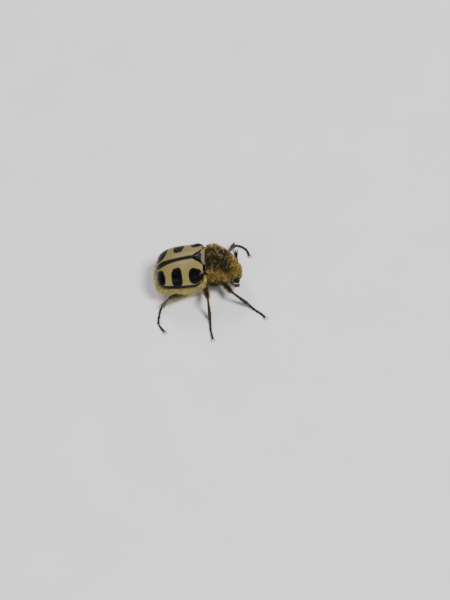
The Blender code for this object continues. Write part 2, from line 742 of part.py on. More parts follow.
def mouthparts():
    """The lower lip under the head, with a feeler at each side of it."""
    up = Vector((0, 0, 1))
    lip = tube([at(*place) for place, _ in LIP], [radii for _, radii in LIP], up)
    palps = []
    for side in (-1, 1):
        path = [mirrored(place, side) for place, _ in PALP]
        palps.append(tube(path, [(radius, radius) for _, radius in PALP], up, sides=8))
    return combined(lip, palps, "UNION")


def build():
    clear_scene()
    beetle = bpy.data.objects.new("beetle", None)
    bpy.context.scene.collection.objects.link(beetle)
    legs = {pair: [leg for leg in LEGS.values() if leg.pair == pair] for pair in ("front", "mid", "hind")}
    cores = {
        "prothorax": closed_mesh(section_rings(PROTHORAX, PRONOTUM_COAT * CORE_SHARE)),
        "metathorax": closed_mesh(trunk_rings(METATHORAX, SIDE_COAT * CORE_SHARE)),
        "abdomen": closed_mesh(trunk_rings(ABDOMEN, SIDE_COAT * CORE_SHARE)),
        "pygidium": closed_mesh(hind_rings(REAR_COAT * CORE_SHARE)),
    }
    trees = {name: tree_of(core) for name, core in cores.items()}

    def add(name, shape, finish, root, direction=None):
        trees[name] = tree_of(shape)
        node(name, shape, finish, root, beetle, direction)

    for name, leg in LEGS.items():
        hip, knee, ankle = at(*leg.hip), at(*leg.knee), at(*leg.ankle)
        add(f"femur_{name}", femur(leg), "black_shell", hip, knee - hip)
        add(f"tibia_{name}", tibia(leg), "black_shell", knee, ankle - knee)
        add(f"tarsus_{name}", tarsus(leg), "black_shell", ankle)

    add("scutellum", scutellum(), "black_shell", at(CASE_BASE, 0, CASE_TOP))
    for name, side in (("left", 1), ("right", -1)):
        add(f"wing_case_{name}", wing_case(side), "cream_case", at(CASE_BASE, side, CASE_TOP))
        add(f"eye_{name}", eye(side), "black_eye", mirrored(EYE_PLACE, side))
        add(f"feeler_{name}", feeler(side), "brown_feeler", mirrored(FEELER_PATH[0], side))
    head = combined(closed_mesh(section_rings(HEAD, 0)), [eye(side, GAP / MM) for side in (-1, 1)], "DIFFERENCE")
    add("head", head, "black_shell", at(HEAD[0].forward, 0, HEAD[0].height))
    add("mouthparts", mouthparts(), "brown_feeler", at(*LIP[0][0]))

    def add_coated(name, locks, carried, carved, root):
        shape = combined(cores[name], [coxa(leg) for leg in carried] + locks, "UNION")
        if carved:
            shape = combined(shape, [femur(leg, GAP / MM) for leg in carved], "DIFFERENCE")
        add(name, shape, "golden_coat", root)

    def around(name):
        return [tree for other, tree in trees.items() if other != name]

    depth = PRONOTUM_COAT * CORE_SHARE
    locks = coat_of(section_point, PROTHORAX, PRONOTUM_TURNS, depth, PRONOTUM_FUR, around("prothorax"))
    root = at(PROTHORAX[0].forward, 0, PROTHORAX[0].height)
    add_coated("prothorax", locks, legs["front"], legs["front"], root)

    divisions = (
        ("metathorax", METATHORAX, legs["mid"] + legs["hind"], legs["mid"] + legs["hind"]),
        ("abdomen", ABDOMEN, [], legs["hind"]),
    )
    depth = SIDE_COAT * CORE_SHARE
    for name, stations, carried, carved in divisions:
        locks = []
        for span in FLANK_TURNS:
            locks += coat_of(flank_point, stations, span, depth, FLANK_FUR, around(name))
        add_coated(name, locks, carried, carved, at(stations[0].forward, 0, MARGIN_HEIGHT))

    depth = REAR_COAT * CORE_SHARE
    locks = coat_of(hind_point, PYGIDIUM, REAR_TURNS, depth, REAR_FUR, around("pygidium"))
    add_coated("pygidium", locks, [], [], at(PYGIDIUM[0].forward, 0, PYGIDIUM[0].height))


build()
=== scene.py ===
# %% [markdown]
# A bee chafer is a hairy little beetle, about 11 mm long. This notebook dresses a plain solid model of one:
# it loads the solids as a fixed frame, then builds the fine surfaces, the marks and the fur around them.
# The frame comes first because every piece must sit where the solids say, and nothing in it may be moved.

import bpy
import numpy as np
from mathutils import Matrix, Vector


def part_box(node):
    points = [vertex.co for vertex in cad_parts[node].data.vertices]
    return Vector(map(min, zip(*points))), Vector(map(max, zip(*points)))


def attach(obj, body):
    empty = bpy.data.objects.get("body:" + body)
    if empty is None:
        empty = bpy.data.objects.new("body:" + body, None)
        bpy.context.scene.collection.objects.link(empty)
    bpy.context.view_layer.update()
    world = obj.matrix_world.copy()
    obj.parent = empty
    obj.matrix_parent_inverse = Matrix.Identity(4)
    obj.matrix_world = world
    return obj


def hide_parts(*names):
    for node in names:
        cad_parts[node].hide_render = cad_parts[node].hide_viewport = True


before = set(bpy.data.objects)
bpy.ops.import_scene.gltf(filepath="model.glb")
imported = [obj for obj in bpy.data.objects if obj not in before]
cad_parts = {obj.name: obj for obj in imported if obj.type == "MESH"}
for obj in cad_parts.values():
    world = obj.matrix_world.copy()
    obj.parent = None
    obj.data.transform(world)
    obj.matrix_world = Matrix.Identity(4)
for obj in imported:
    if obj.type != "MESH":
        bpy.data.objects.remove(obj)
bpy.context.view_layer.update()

MM = 0.001

# %% [markdown]
# A beetle is easiest to think about in its own directions: forward to the head, left, and up from the floor,
# in millimetres. The midline is half way between the two wing cases, and their front edge tells where the
# forward count starts. Reading both from the frame keeps every piece on the solids without fitting.

# %% Body directions
CASE_BASE = -0.2
MIDLINE = (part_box("wing_case_left")[0].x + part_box("wing_case_right")[1].x) / 2
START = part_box("wing_case_left")[0].y + CASE_BASE * MM


def body_point(forward, left, up):
    """World points in metres: x is the midline plus left, y is minus forward, z is up."""
    forward, left, up = np.broadcast_arrays(forward, left, up)
    return np.stack([MIDLINE + left * MM, START - forward * MM, up * MM], axis=-1)


print("midline in mm", round(MIDLINE / MM, 3), "start in mm", round(START / MM, 3))

# %% [markdown]
# The photographer looked at the beetle's right side from well above and a little from the front, with the
# camera rolled, so that the beetle's rear sits lower in the picture. The camera is placed by its three
# directions: where it looks, which way is right, and which way is up. They follow from the elevation, the
# yaw and the roll. A long lens a quarter of a metre away gives the flat view of a close-up photograph.

# %% Camera
PICTURE_HEIGHT = 600
PIXELS_PER_MM = 8.75
CAMERA_DISTANCE = 0.25
ELEVATION = np.radians(51)
YAW = np.radians(5)
ROLL = np.radians(8)
AIM_FORWARD, AIM_LEFT = 1.652, -2.395

look = np.array([np.cos(ELEVATION) * np.cos(YAW), np.cos(ELEVATION) * np.sin(YAW), -np.sin(ELEVATION)])
level_right = np.array([np.sin(YAW), -np.cos(YAW), 0])
level_up = np.cross(level_right, look)
picture_right = level_right * np.cos(ROLL) - level_up * np.sin(ROLL)
picture_up = level_right * np.sin(ROLL) + level_up * np.cos(ROLL)
camera_data = bpy.data.cameras.new("camera")
camera_data.sensor_width = 36
camera_data.lens = 36 * CAMERA_DISTANCE / (PICTURE_HEIGHT / PIXELS_PER_MM * MM)
camera_data.clip_start, camera_data.clip_end = 0.01, 10
camera = bpy.data.objects.new("camera", camera_data)
turn = Matrix([picture_right, picture_up, -look]).transposed()
camera_place = body_point(AIM_FORWARD, AIM_LEFT, 0) - look * CAMERA_DISTANCE
camera.matrix_world = Matrix.Translation(camera_place) @ turn.to_4x4()
bpy.context.scene.collection.objects.link(camera)
bpy.context.scene.camera = camera
print("lens in mm", round(camera_data.lens, 1))

# %% [markdown]
# Every finish below is a small network of shader nodes. These helpers keep such a network readable: each
# adds one node, wires its inputs and hands back its output. Patterns read Object coordinates, which are
# metres on the beetle itself, so they stay on the surface from every side.

# %% Shader helpers
def new_material(name, roughness, colour=(0.5, 0.5, 0.5), **constants):
    """A material with a Principled shader, whose constants go straight onto the shader's own sockets."""
    made = bpy.data.materials.new(name)
    made.use_nodes = True
    shader = made.node_tree.nodes["Principled BSDF"]
    shader.inputs["Roughness"].default_value = roughness
    shader.inputs["Base Color"].default_value = (*colour, 1)
    made.diffuse_color = (*colour, 1)
    for socket, value in constants.items():
        shader.inputs[socket.replace("_", " ").title().replace("Ior", "IOR")].default_value = value
    return made, made.node_tree, shader


def add(tree, kind, inputs=(), **settings):
    """One node with its settings, and its inputs by number or name: a socket is linked, a value is set."""
    made = tree.nodes.new(kind)
    for key, value in settings.items():
        setattr(made, key, value)
    for key, value in dict(inputs).items():
        if isinstance(value, bpy.types.NodeSocket):
            tree.links.new(value, made.inputs[key])
        else:
            made.inputs[key].default_value = value
    return made


def object_place(tree):
    """Where a point lies on the piece, in metres."""
    return add(tree, "ShaderNodeTexCoord").outputs["Object"]


def attribute(tree, name):
    """The value stored on the mesh under this name."""
    return add(tree, "ShaderNodeAttribute", attribute_name=name).outputs["Fac"]


def noise(tree, place, per_mm, detail=2.0, rough=0.5):
    """Soft random values of about this many lumps to a millimetre."""
    inputs = {"Vector": place, "Scale": per_mm / MM, "Detail": detail, "Roughness": rough}
    return add(tree, "ShaderNodeTexNoise", inputs).outputs["Fac"]


def cells(tree, place, per_mm):
    """Distance to the nearest of many scattered points, this many to a millimetre: pits and facets."""
    inputs = {"Vector": place, "Scale": per_mm / MM}
    return add(tree, "ShaderNodeTexVoronoi", inputs).outputs["Distance"]


def ramp(tree, value, stops):
    """Colours or greys by value: each stop is a place from 0 to 1 and a colour or a grey."""
    made = add(tree, "ShaderNodeValToRGB", {"Fac": value})
    band = made.color_ramp
    while len(band.elements) < len(stops):
        band.elements.new(0.5)
    for element, (place, colour) in zip(band.elements, stops):
        element.position = place
        element.color = (*colour, 1) if isinstance(colour, tuple) else (colour, colour, colour, 1)
    return made.outputs["Color"]


def remap(tree, value, low, high, to_low=0.0, to_high=1.0):
    """The value stretched from one span to another, and held inside it."""
    inputs = {0: value, 1: low, 2: high, 3: to_low, 4: to_high}
    return add(tree, "ShaderNodeMapRange", inputs).outputs[0]


def blend(tree, share, first, second):
    """Two colours mixed by a share from 0 to 1."""
    made = add(tree, "ShaderNodeMix", {0: share}, data_type="RGBA")
    for socket, value in ((made.inputs[6], first), (made.inputs[7], second)):
        if isinstance(value, bpy.types.NodeSocket):
            tree.links.new(value, socket)
        else:
            socket.default_value = (*value, 1)
    return made.outputs[2]


def sums(tree, operation, first, second):
    """Arithmetic on two values."""
    return add(tree, "ShaderNodeMath", {0: first, 1: second}, operation=operation).outputs[0]


def bumped(tree, shader, height, depth_mm, strength=1.0):
    """Tilts the shading as if the surface rose by the height times this many millimetres."""
    inputs = {"Height": height, "Distance": depth_mm * MM, "Strength": strength}
    tree.links.new(add(tree, "ShaderNodeBump", inputs).outputs["Normal"], shader.inputs["Normal"])


# %% [markdown]
# The beetle stands on a plain pale floor under soft studio light. The floor is one large sheet with a faint
# unevenness, so that it looks like matt card and not like nothing. One broad light above and behind the
# camera's shoulder makes the shine along the wing cases, a second one fills the shadows, and a pale world
# keeps the underside readable.

# %% Floor and light
FLOOR_HALF = 2.0
WORLD_STRENGTH = 0.16
# Name, place in metres, size in metres, power in watts
LIGHTS = (
    ("key_light", (-0.25, -0.35, 0.6), 0.22, 6.6),
    ("fill_light", (-0.5, 0.45, 0.35), 0.4, 1.6),
    ("back_light", (0.45, 0.2, 0.5), 0.3, 2.2),
)


def stage_floor():
    """A flat square of card, faintly mottled."""
    corners = [(x * FLOOR_HALF, y * FLOOR_HALF, 0) for x, y in ((-1, -1), (1, -1), (1, 1), (-1, 1))]
    mesh = bpy.data.meshes.new("floor")
    mesh.from_pydata(corners, [], [(0, 1, 2, 3)])
    floor = bpy.data.objects.new("floor", mesh)
    bpy.context.scene.collection.objects.link(floor)
    card, tree, shader = new_material("pale_card", 0.85, specular_ior_level=0.2)
    mottle = noise(tree, object_place(tree), 0.12, 4)
    tree.links.new(ramp(tree, mottle, [(0.3, (0.86, 0.86, 0.86)), (0.7, (0.90, 0.90, 0.90))]),
                   shader.inputs["Base Color"])
    mesh.materials.append(card)


def studio_light(name, place, size, power):
    """A square area light that faces the beetle."""
    data = bpy.data.lights.new(name, "AREA")
    data.size, data.energy = size, power
    light = bpy.data.objects.new(name, data)
    light.location = place
    light.rotation_mode = "QUATERNION"
    light.rotation_quaternion = (-Vector(place)).to_track_quat("-Z", "Y")
    bpy.context.scene.collection.objects.link(light)


stage_floor()
for light in LIGHTS:
    studio_light(*light)
world = bpy.data.worlds.new("studio")
world.use_nodes = True
world.node_tree.nodes["Background"].inputs["Color"].default_value = (1.0, 1.0, 1.0, 1)
world.node_tree.nodes["Background"].inputs["Strength"].default_value = WORLD_STRENGTH
bpy.context.scene.world = world
print("stage and lights", [name for name, *_ in LIGHTS])

# %% [markdown]
# All surfaces below are grids of points worked out as whole arrays. The helpers here turn such grids into
# closed meshes. A grid that wraps round gets a point over each end, and a plate is two grids that share
# their border, so nothing is left open. The sign of the volume tells whether the faces look outwards.

# %% Mesh helpers
def outward(points, quads, triangles):
    """The faces, all turned round if they enclose a negative volume."""
    parts = [quads[:, [0, 1, 2]], quads[:, [0, 2, 3]], triangles]
    corners = points[np.concatenate(parts)] - points.mean(0)
    volume = np.einsum("ij,ij->i", corners[:, 0], np.cross(corners[:, 1], corners[:, 2])).sum()
    return (quads, triangles) if volume > 0 else (quads[:, ::-1], triangles[:, ::-1])


def mesh_piece(name, points, quads, triangles, material, values=None, uv=None):
    """A smooth mesh object from arrays. values are stored on its points, and uv is a pair for each one."""
    quads = np.asarray(quads, np.int32).reshape(-1, 4)
    triangles = np.asarray(triangles, np.int32).reshape(-1, 3)
    corners = np.concatenate([quads.ravel(), triangles.ravel()])
    sizes = np.concatenate([np.full(len(quads), 4), np.full(len(triangles), 3)])
    mesh = bpy.data.meshes.new(name)
    mesh.vertices.add(len(points))
    mesh.vertices.foreach_set("co", np.asarray(points, np.float32).ravel())
    mesh.loops.add(len(corners))
    mesh.loops.foreach_set("vertex_index", corners)
    mesh.polygons.add(len(sizes))
    mesh.polygons.foreach_set("loop_start", np.concatenate([[0], np.cumsum(sizes)[:-1]]).astype(np.int32))
    mesh.update(calc_edges=True)
    for key, value in (values or {}).items():
        stored = mesh.attributes.new(key, "FLOAT", "POINT")
        stored.data.foreach_set("value", np.asarray(value, np.float32).ravel())
    if uv is not None:
        layer = mesh.uv_layers.new(name="OFBake")
        layer.data.foreach_set("uv", np.asarray(uv, np.float32)[corners].ravel())
    mesh.shade_smooth()
    mesh.materials.append(material)
    piece = bpy.data.objects.new(name, mesh)
    bpy.context.scene.collection.objects.link(piece)
    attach(piece, "root")
    return piece


def ring_faces(rows, columns):
    """Faces of a grid whose rows wrap round, with one more point beyond each end: the last two points."""
    index = np.arange(rows * columns).reshape(rows, columns)
    nxt = np.roll(index, -1, axis=1)
    quads = np.stack([index[:-1], nxt[:-1], nxt[1:], index[1:]], -1).reshape(-1, 4)
    first = np.stack([nxt[0], index[0], np.full(columns, index.size)], -1)
    last = np.stack([index[-1], nxt[-1], np.full(columns, index.size + 1)], -1)
    return quads, np.concatenate([first, last])


def closed_rings(rings):
    """Points and outward faces of one closed surface through rings, rows by columns by 3."""
    rows, columns = rings.shape[:2]
    points = np.concatenate([rings.reshape(-1, 3), rings[:1].mean(1), rings[-1:].mean(1)])
    return points, *outward(points, *ring_faces(rows, columns))


def closed_plate(top, under):
    """Points and outward faces between two grids that share their border points."""
    rows, columns = top.shape[:2]
    upper = np.arange(rows * columns).reshape(rows, columns)
    lower = upper.copy()
    inner = (rows - 2) * (columns - 2)
    lower[1:-1, 1:-1] = rows * columns + np.arange(inner).reshape(rows - 2, columns - 2)
    points = np.concatenate([top.reshape(-1, 3), under[1:-1, 1:-1].reshape(-1, 3)])
    quads = [np.stack([g[:-1, :-1], g[1:, :-1], g[1:, 1:], g[:-1, 1:]], -1).reshape(-1, 4)
             for g in (upper, lower)]
    quads = np.concatenate([quads[0], quads[1][:, ::-1]])
    return points, *outward(points, quads, np.empty((0, 3), int))


def joined(parts):
    """Several (points, quads, triangles) as one, with the face numbers moved along."""
    starts = np.cumsum([0] + [len(points) for points, _, _ in parts[:-1]])
    points = np.concatenate([points for points, _, _ in parts])
    quads = np.concatenate([quads + start for (_, quads, _), start in zip(parts, starts)])
    return points, quads, np.concatenate([tris + start for (_, _, tris), start in zip(parts, starts)])


def smooth_rows(knots, place):
    """Rows on a Catmull-Rom curve through the knots. A place of 1.5 is half way between knots 1 and 2."""
    knots, place = np.asarray(knots, float), np.asarray(place, float)
    ends = np.concatenate([2 * knots[:1] - knots[1:2], knots, 2 * knots[-1:] - knots[-2:-1]])
    span = np.clip(np.floor(place).astype(int), 0, len(knots) - 2)
    t = (place - span).reshape(-1, *[1] * (knots.ndim - 1))
    a, b, c, d = (ends[span + k] for k in range(4))
    return b + 0.5 * t * (c - a + t * (2 * a - 5 * b + 4 * c - d + t * (3 * b - a - 3 * c + d)))


def unit(vectors):
    """Vectors of length 1."""
    return vectors / np.maximum(np.linalg.norm(vectors, axis=-1, keepdims=True), 1e-12)


SIDES = (("left", 1), ("right", -1))
print("mesh helpers ready")

# %% [markdown]
# The two wing cases are the hard, waxy shells over the wings: cream, with three black patches on each, and
# nearly boxy in plan. In section each half is a superellipse, a shape between an ellipse and a box. The
# width, the height of the margin and the height of the back change along the length by simple falloffs.
# Sculpting by hand would drift from the solid, while these formulas are the solid's own.

# %% Wing case sizes
CASE_LENGTH, CASE_HALF_WIDTH, CASE_TOP, CASE_THICKNESS = 5.68, 2.9, 5.3, 0.45
MARGIN_HEIGHT, MARGIN_REAR_DROP, BASE_DIP = 3.3, 0.2, 0.12
SHOULDER_LIFT, SHOULDER_TAPER, SHOULDER_REACH, SHOULDER_BUMP = 0.6, 0.12, 0.24, 0.12
SHOULDER_PLACE, SHOULDER_SPREAD = (0.6, 0.8), (0.45, 0.16)
SHOULDER_SLOPE, SHOULDER_SLOPE_REACH = 0.3, 1.6
CASE_ROUNDNESS, PLAN_ROUNDNESS, BACK_ROUNDNESS = 2.4, 3.7, 2.0
SUTURE_HALF_GAP, GAP = 0.015, 0.1
PLAN_START, BACK_START, DROP_START = 0.38, 0.0, 0.6
SCUTELLUM_LENGTH, SCUTELLUM_HALF_WIDTH, SCUTELLUM_POINT = 1.3, 0.68, 2.0
SCUTELLUM_FLARE, SCUTELLUM_FLARE_REACH = 0.45, 0.65


def superellipse(turn, roundness):
    """A point at a turn round a superellipse of half sizes 1: the signed powers of cosine and sine."""
    left, up = np.cos(turn), np.sin(turn)
    power = 2 / roundness
    return np.sign(left) * np.abs(left) ** power, np.sign(up) * np.abs(up) ** power


def falloff(along, start, roundness):
    """1 up to the start, then down to 0 at 1 along a superellipse."""
    share = np.clip((along - start) / (1 - start), 0, 1)
    return (1 - share ** roundness) ** (1 / roundness)


def case_size(back, inset=0.0):
    """Half width, margin height and top height of the wing cases at a distance behind their base."""
    along = np.clip(back / (CASE_LENGTH - inset), 0, 1)
    front = np.clip(1 - along / SHOULDER_REACH, 0, 1) ** 2
    rear = np.clip((along - DROP_START) / (1 - DROP_START), 0, 1) ** 2
    width = (CASE_HALF_WIDTH - inset) * (1 - SHOULDER_TAPER * front)
    width = width * falloff(along, PLAN_START, PLAN_ROUNDNESS)
    margin = MARGIN_HEIGHT + SHOULDER_LIFT * front - MARGIN_REAR_DROP * rear
    tip = MARGIN_HEIGHT - MARGIN_REAR_DROP
    top = tip + (CASE_TOP - inset - tip) * falloff(along, BACK_START, BACK_ROUNDNESS) - BASE_DIP * front
    return width, margin, np.maximum(top, margin + 0.01)


def set_back(share, back):
    """How far back a point lies, at a share of the half width: its cube, fading along the shoulders."""
    return SHOULDER_SLOPE * np.abs(share) ** 3 * np.clip(1 - np.maximum(0, back) / SHOULDER_SLOPE_REACH, 0, 1)


def scutellum_width(back):
    """Half width of the scutellum: a parabola to its point, and a straight flare at its front corners."""
    along = np.maximum(0, back)
    flare = SCUTELLUM_FLARE * np.clip(1 - along / SCUTELLUM_FLARE_REACH, 0, 1)
    return flare + SCUTELLUM_HALF_WIDTH * np.clip(1 - (along / SCUTELLUM_LENGTH) ** SCUTELLUM_POINT, 0, 1)


print("half width and heights at mid length", [round(float(v), 2) for v in case_size(CASE_LENGTH / 2)])

# %% [markdown]
# Each wing case is a closed plate: its outer grid runs from the base to the tip and from the seam in the
# middle out to the margin, and an inner grid lies under it. Near every edge the outer surface rolls down by
# a small quarter circle, and the two grids meet there. A sharp edge would catch no light, and real ones are
# always a little rounded. Faint lengthwise grooves and the bump of the shoulder are in the surface itself.

# %% Wing case surface
CASE_ROWS, CASE_COLUMNS = 150, 110
CASE_GIRTH_SHARE = 1.25
EDGE_ROLL, EDGE_FADE = 0.09, 0.4
GROOVE_DEPTH, GROOVE_COUNT = 0.006, 7


def rolled(distance, radius):
    """The drop of a rounded edge: a quarter circle within the radius of the edge, and nothing beyond."""
    share = np.clip(1 - distance / radius, 0, 1)
    return radius * (1 - np.sqrt(1 - share ** 2))


def case_point(side, along, across, under=0.0):
    """A wing case's surface: along runs from base to tip, across from the seam to the margin, both 0 to 1.

    under is how deep the point lies inside the shell, from 0 on its outer face.
    """
    back = CASE_LENGTH * along
    width, margin, top = case_size(back)
    shield = np.where(back < SCUTELLUM_LENGTH, scutellum_width(back) + GAP, 0)
    edge = np.maximum(SUTURE_HALF_GAP, shield)
    width = np.maximum(width, edge + 0.02)
    start = np.arcsin((edge / width) ** (CASE_ROUNDNESS / 2))
    turn = start + (np.pi / 2 - start) * across
    left, up = superellipse(np.pi / 2 - turn, CASE_ROUNDNESS)
    bump = SHOULDER_BUMP * np.exp(-((back - SHOULDER_PLACE[0]) / SHOULDER_SPREAD[0]) ** 2
                                  - ((left - SHOULDER_PLACE[1]) / SHOULDER_SPREAD[1]) ** 2)
    aside = np.minimum(across, 1 - across) * (CASE_GIRTH_SHARE * width)
    edge_distance = np.minimum(aside, np.minimum(back, CASE_LENGTH - back))
    grooves = (GROOVE_DEPTH * np.cos(2 * np.pi * GROOVE_COUNT * across)
               * np.clip(edge_distance / EDGE_FADE, 0, 1))
    swell = 1 + bump / width
    sink = rolled(edge_distance, EDGE_ROLL) - grooves + under
    level = margin + up * (top - margin) * swell - sink * np.clip(up + 0.25, 0.25, 1)
    out = left * width * swell - sink * left ** 3 * 0.8
    return body_point(CASE_BASE - back - set_back(left, back), side * np.maximum(out, edge), level)


def spread(count, ends=0.75):
    """Places from 0 to 1 that crowd towards both ends."""
    even = np.linspace(0, 1, count)
    return (1 - ends) * even + ends * (1 - np.cos(np.pi * even)) / 2


def case_grids(side):
    """The outer and inner grid of one wing case. The shell's depth fades to nothing at its border."""
    along, across = np.meshgrid(spread(CASE_ROWS), spread(CASE_COLUMNS), indexing="ij")
    border = (1 - (2 * along - 1) ** 8) * (1 - (2 * across - 1) ** 8)
    depth = CASE_THICKNESS * 0.75 * np.clip(border, 0, 1) ** 0.5
    return along, across, case_point(side, along, across), case_point(side, along, across, depth)


along, across, outer, inner = case_grids(1)
print("case grid", outer.shape, "length in mm", round(float(np.ptp(outer[..., 1])) / MM, 2))

# %% [markdown]
# The marks are what names this animal. Each black patch is a rounded box in the case's own millimetres,
# counted from the base and from the seam. A point stores how far inside the nearest patch it lies, which
# is smooth, so the shader can cut a crisp and slightly wavy outline at zero however close the camera comes.
# Painting whole faces black would leave a jagged border.

# %% Marks of the wing cases
CASE_GIRTH = 3.5
# Each mark: middle (behind the base, out from the seam), half sizes, boxiness
MARKS = (
    ((0.90, 2.03), (0.94, 1.02), 2.8),
    ((3.21, 1.97), (0.61, 1.22), 3.4),
    ((5.26, 1.86), (0.70, 1.30), 2.5),
)
# How much further forward and nearer the seam each case's marks sit, and how far they lean forward outwards
MARK_SHIFT = {"left": (-0.34, -0.10, 0.15), "right": (0.0, 0.0, 0.04)}
MARK_MIDDLE, MARK_SOFTNESS = 1.9, 9.0
# Widths of the black edge lines, and for two of them: how much wider they get, from where, over what length
SEAM_LINE, MARGIN_LINE, BASE_LINE, TIP_LINE = 0.13, 0.36, 0.15, 0.1
SEAM_WIDER, MARGIN_WIDER = (0.2, 3.4, 2.1), (0.16, 2.6, 1.0)


def rounded_box(x, y, middle, half, boxiness):
    """Roughly the distance inside a rounded box: 1 minus its superellipse radius, in shorter half sizes."""
    radius = (np.abs((x - middle[0]) / half[0]) ** boxiness + np.abs((y - middle[1]) / half[1]) ** boxiness)
    return (1 - radius ** (1 / boxiness)) * min(half)


def wider(back, gain, start, reach, power):
    """An added width: the gain times the share of the reach behind the start, to a power."""
    return gain * np.clip((back - start) / reach, 0, 1) ** power


def case_marks(name, along, across):
    """Millimetres inside the nearest black mark or black edge line, negative on the cream ground.

    Marks that meet are joined softly: log(sum(exp(softness * inside))) / softness.
    """
    back, out = CASE_LENGTH * along, CASE_GIRTH * across
    shift, aside, slant = MARK_SHIFT[name]
    inside = [rounded_box(back - shift + slant * (out - MARK_MIDDLE), out - aside, *mark) for mark in MARKS]
    patch = np.log(np.sum(np.exp(MARK_SOFTNESS * np.clip(inside, -3, 3)), axis=0)) / MARK_SOFTNESS
    seam = SEAM_LINE + wider(back, *SEAM_WIDER, 2) - out
    margin = MARGIN_LINE + wider(back, *MARGIN_WIDER, 1) - (CASE_GIRTH - out)
    return np.max([patch, seam, margin, BASE_LINE - back, back - (CASE_LENGTH - TIP_LINE)], axis=0)


def case_material():
    """Waxy cream shell with black marks. The cream varies a little in soft random patches."""
    made, tree, shader = new_material("waxy_case", 0.3, (0.72, 0.6, 0.33), coat_weight=0.05,
                                      coat_roughness=0.1, specular_ior_level=0.12)
    place = object_place(tree)
    apart = attribute(tree, "seam")
    near_seam, near_margin = remap(tree, apart, 0.25, 0.6, 0.03, 0.16), remap(tree, apart, 3.0, 3.3, 1.0, 0.2)
    waves = sums(tree, "MULTIPLY", near_seam, near_margin)
    wobble = sums(tree, "MULTIPLY", sums(tree, "SUBTRACT", noise(tree, place, 3.5, 3), 0.5), waves)
    inside = sums(tree, "ADD", attribute(tree, "mark"), wobble)
    black_share = remap(tree, inside, -0.012, 0.02)
    halo = remap(tree, inside, -0.10, 0.0)
    cream = ramp(tree, noise(tree, place, 0.9, 3), [(0.3, (0.215, 0.17, 0.060)), (0.55, (0.20, 0.153, 0.050)),
                                                    (0.75, (0.195, 0.14, 0.043))])
    speckle = remap(tree, noise(tree, place, 9, 4, 0.7), 0.35, 0.7, 0.0, 0.35)
    cream = blend(tree, speckle, cream, (0.26, 0.22, 0.10))
    cream = blend(tree, sums(tree, "MULTIPLY", halo, 0.35), cream, (0.07, 0.05, 0.015))
    black = ramp(tree, noise(tree, place, 3, 3),
                 [(0.3, (0.0010, 0.0009, 0.0010)), (0.7, (0.0018, 0.0015, 0.0016))])
    seam = remap(tree, apart, 0.02, SEAM_LINE, 1.0, 0.0)
    black = blend(tree, seam, black, (0.016, 0.010, 0.004))
    tree.links.new(blend(tree, black_share, cream, black), shader.inputs["Base Color"])
    pits = remap(tree, cells(tree, place, 9), 0.0, 0.35)
    skin = sums(tree, "ADD", sums(tree, "MULTIPLY", pits, 0.5), noise(tree, place, 16, 3))
    tree.links.new(remap(tree, noise(tree, place, 6, 4), 0.3, 0.7, 0.26, 0.42), shader.inputs["Roughness"])
    bumped(tree, shader, skin, 0.012, 0.6)
    return made


waxy = case_material()
for name, side in SIDES:
    along, across, outer, inner = case_grids(side)
    points, quads, triangles = closed_plate(outer, inner)
    marks = case_marks(name, along, across)
    seam = CASE_GIRTH * across + 0 * along
    stored = {key: np.concatenate([grid.ravel(), grid[1:-1, 1:-1].ravel()])
              for key, grid in (("mark", marks), ("seam", seam))}
    piece = mesh_piece(f"case_{name}", points, quads, triangles, waxy, stored)
    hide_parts(f"wing_case_{name}")
    print(piece.name, len(quads), "quads, black share", round(float((marks > 0).mean()), 2))

# %% [markdown]
# One skin runs from the tail to the neck under the wing cases and the fur. It is a loft: rings of points,
# each a superellipse with its own size and tilt, and smooth rows between them. The front rings tilt more
# and more, because the beetle bows its head. The skin lies inside the solid by the depth of the coat, so
# that the hair tips, not the hair roots, make the outline.

# %% Body skin
BODY_ROUNDNESS = 2.2
# Tilted sections: forward, height, nose-down pitch in degrees, half width, rise above, depth below
PROTHORAX = (
    (-0.09, 3.54, 3, 1.72, 1.54, 1.7),
    (0.6, 3.47, 8, 1.98, 1.64, 1.95),
    (1.4, 3.24, 21, 1.92, 1.56, 1.85),
    (2.05, 2.9, 34, 1.64, 1.34, 1.5),
    (2.52, 2.54, 47, 1.36, 1.08, 1.12),
    (2.7, 2.32, 54, 1.14, 0.84, 0.82),
)
PYGIDIUM = (
    (-5.15, 2.18, 0, 2.2, 0.8, 0.75),
    (-5.4, 2.2, 0, 2.12, 0.78, 0.72),
    (-5.62, 2.22, 0, 1.72, 0.7, 0.66),
    (-5.78, 2.22, 0, 1.1, 0.48, 0.48),
    (-5.86, 2.22, 0, 0.5, 0.22, 0.22),
    (-5.88, 2.22, 0, 0.12, 0.05, 0.05),
)
# Sections of the trunk: forward, half width, height of the belly, roundness
TRUNK = (
    (-0.18, 1.85, 1.6, 2.2),
    (-0.7, 2.1, 1.35, 2.2),
    (-1.5, 2.4, 1.1, 2.2),
    (-2.65, 2.6, 1.0, 2.0),
    (-3.4, 2.65, 0.98, 1.9),
    (-4.2, 2.55, 1.1, 1.9),
    (-4.8, 2.35, 1.3, 1.9),
    (-5.05, 2.2, 1.45, 1.9),
)
# Share of the nearest ring's size, and the step forward and up from it
WAIST_SHARE, WAIST_STEP = 0.985, (-0.06, 0)
COLLAR_SHARE, COLLAR_STEP = 0.8, (0.12, -0.1)
SKIN_ROWS, SKIN_COLUMNS, SKIN_SOFTENING = 260, 144, 30
# The pronotum's back rim is crisper than the rest
RIM_PLACE, RIM_REACH, RIM_SOFTENING = 0.0, 0.35, 2
# Grooves between the belly plates: places, half width and depth
SEGMENT_PLACES = (-2.2, -2.95, -3.55, -4.1, -4.6, -5.1)
SEGMENT_WIDTH, SEGMENT_DEPTH = 0.06, 0.07


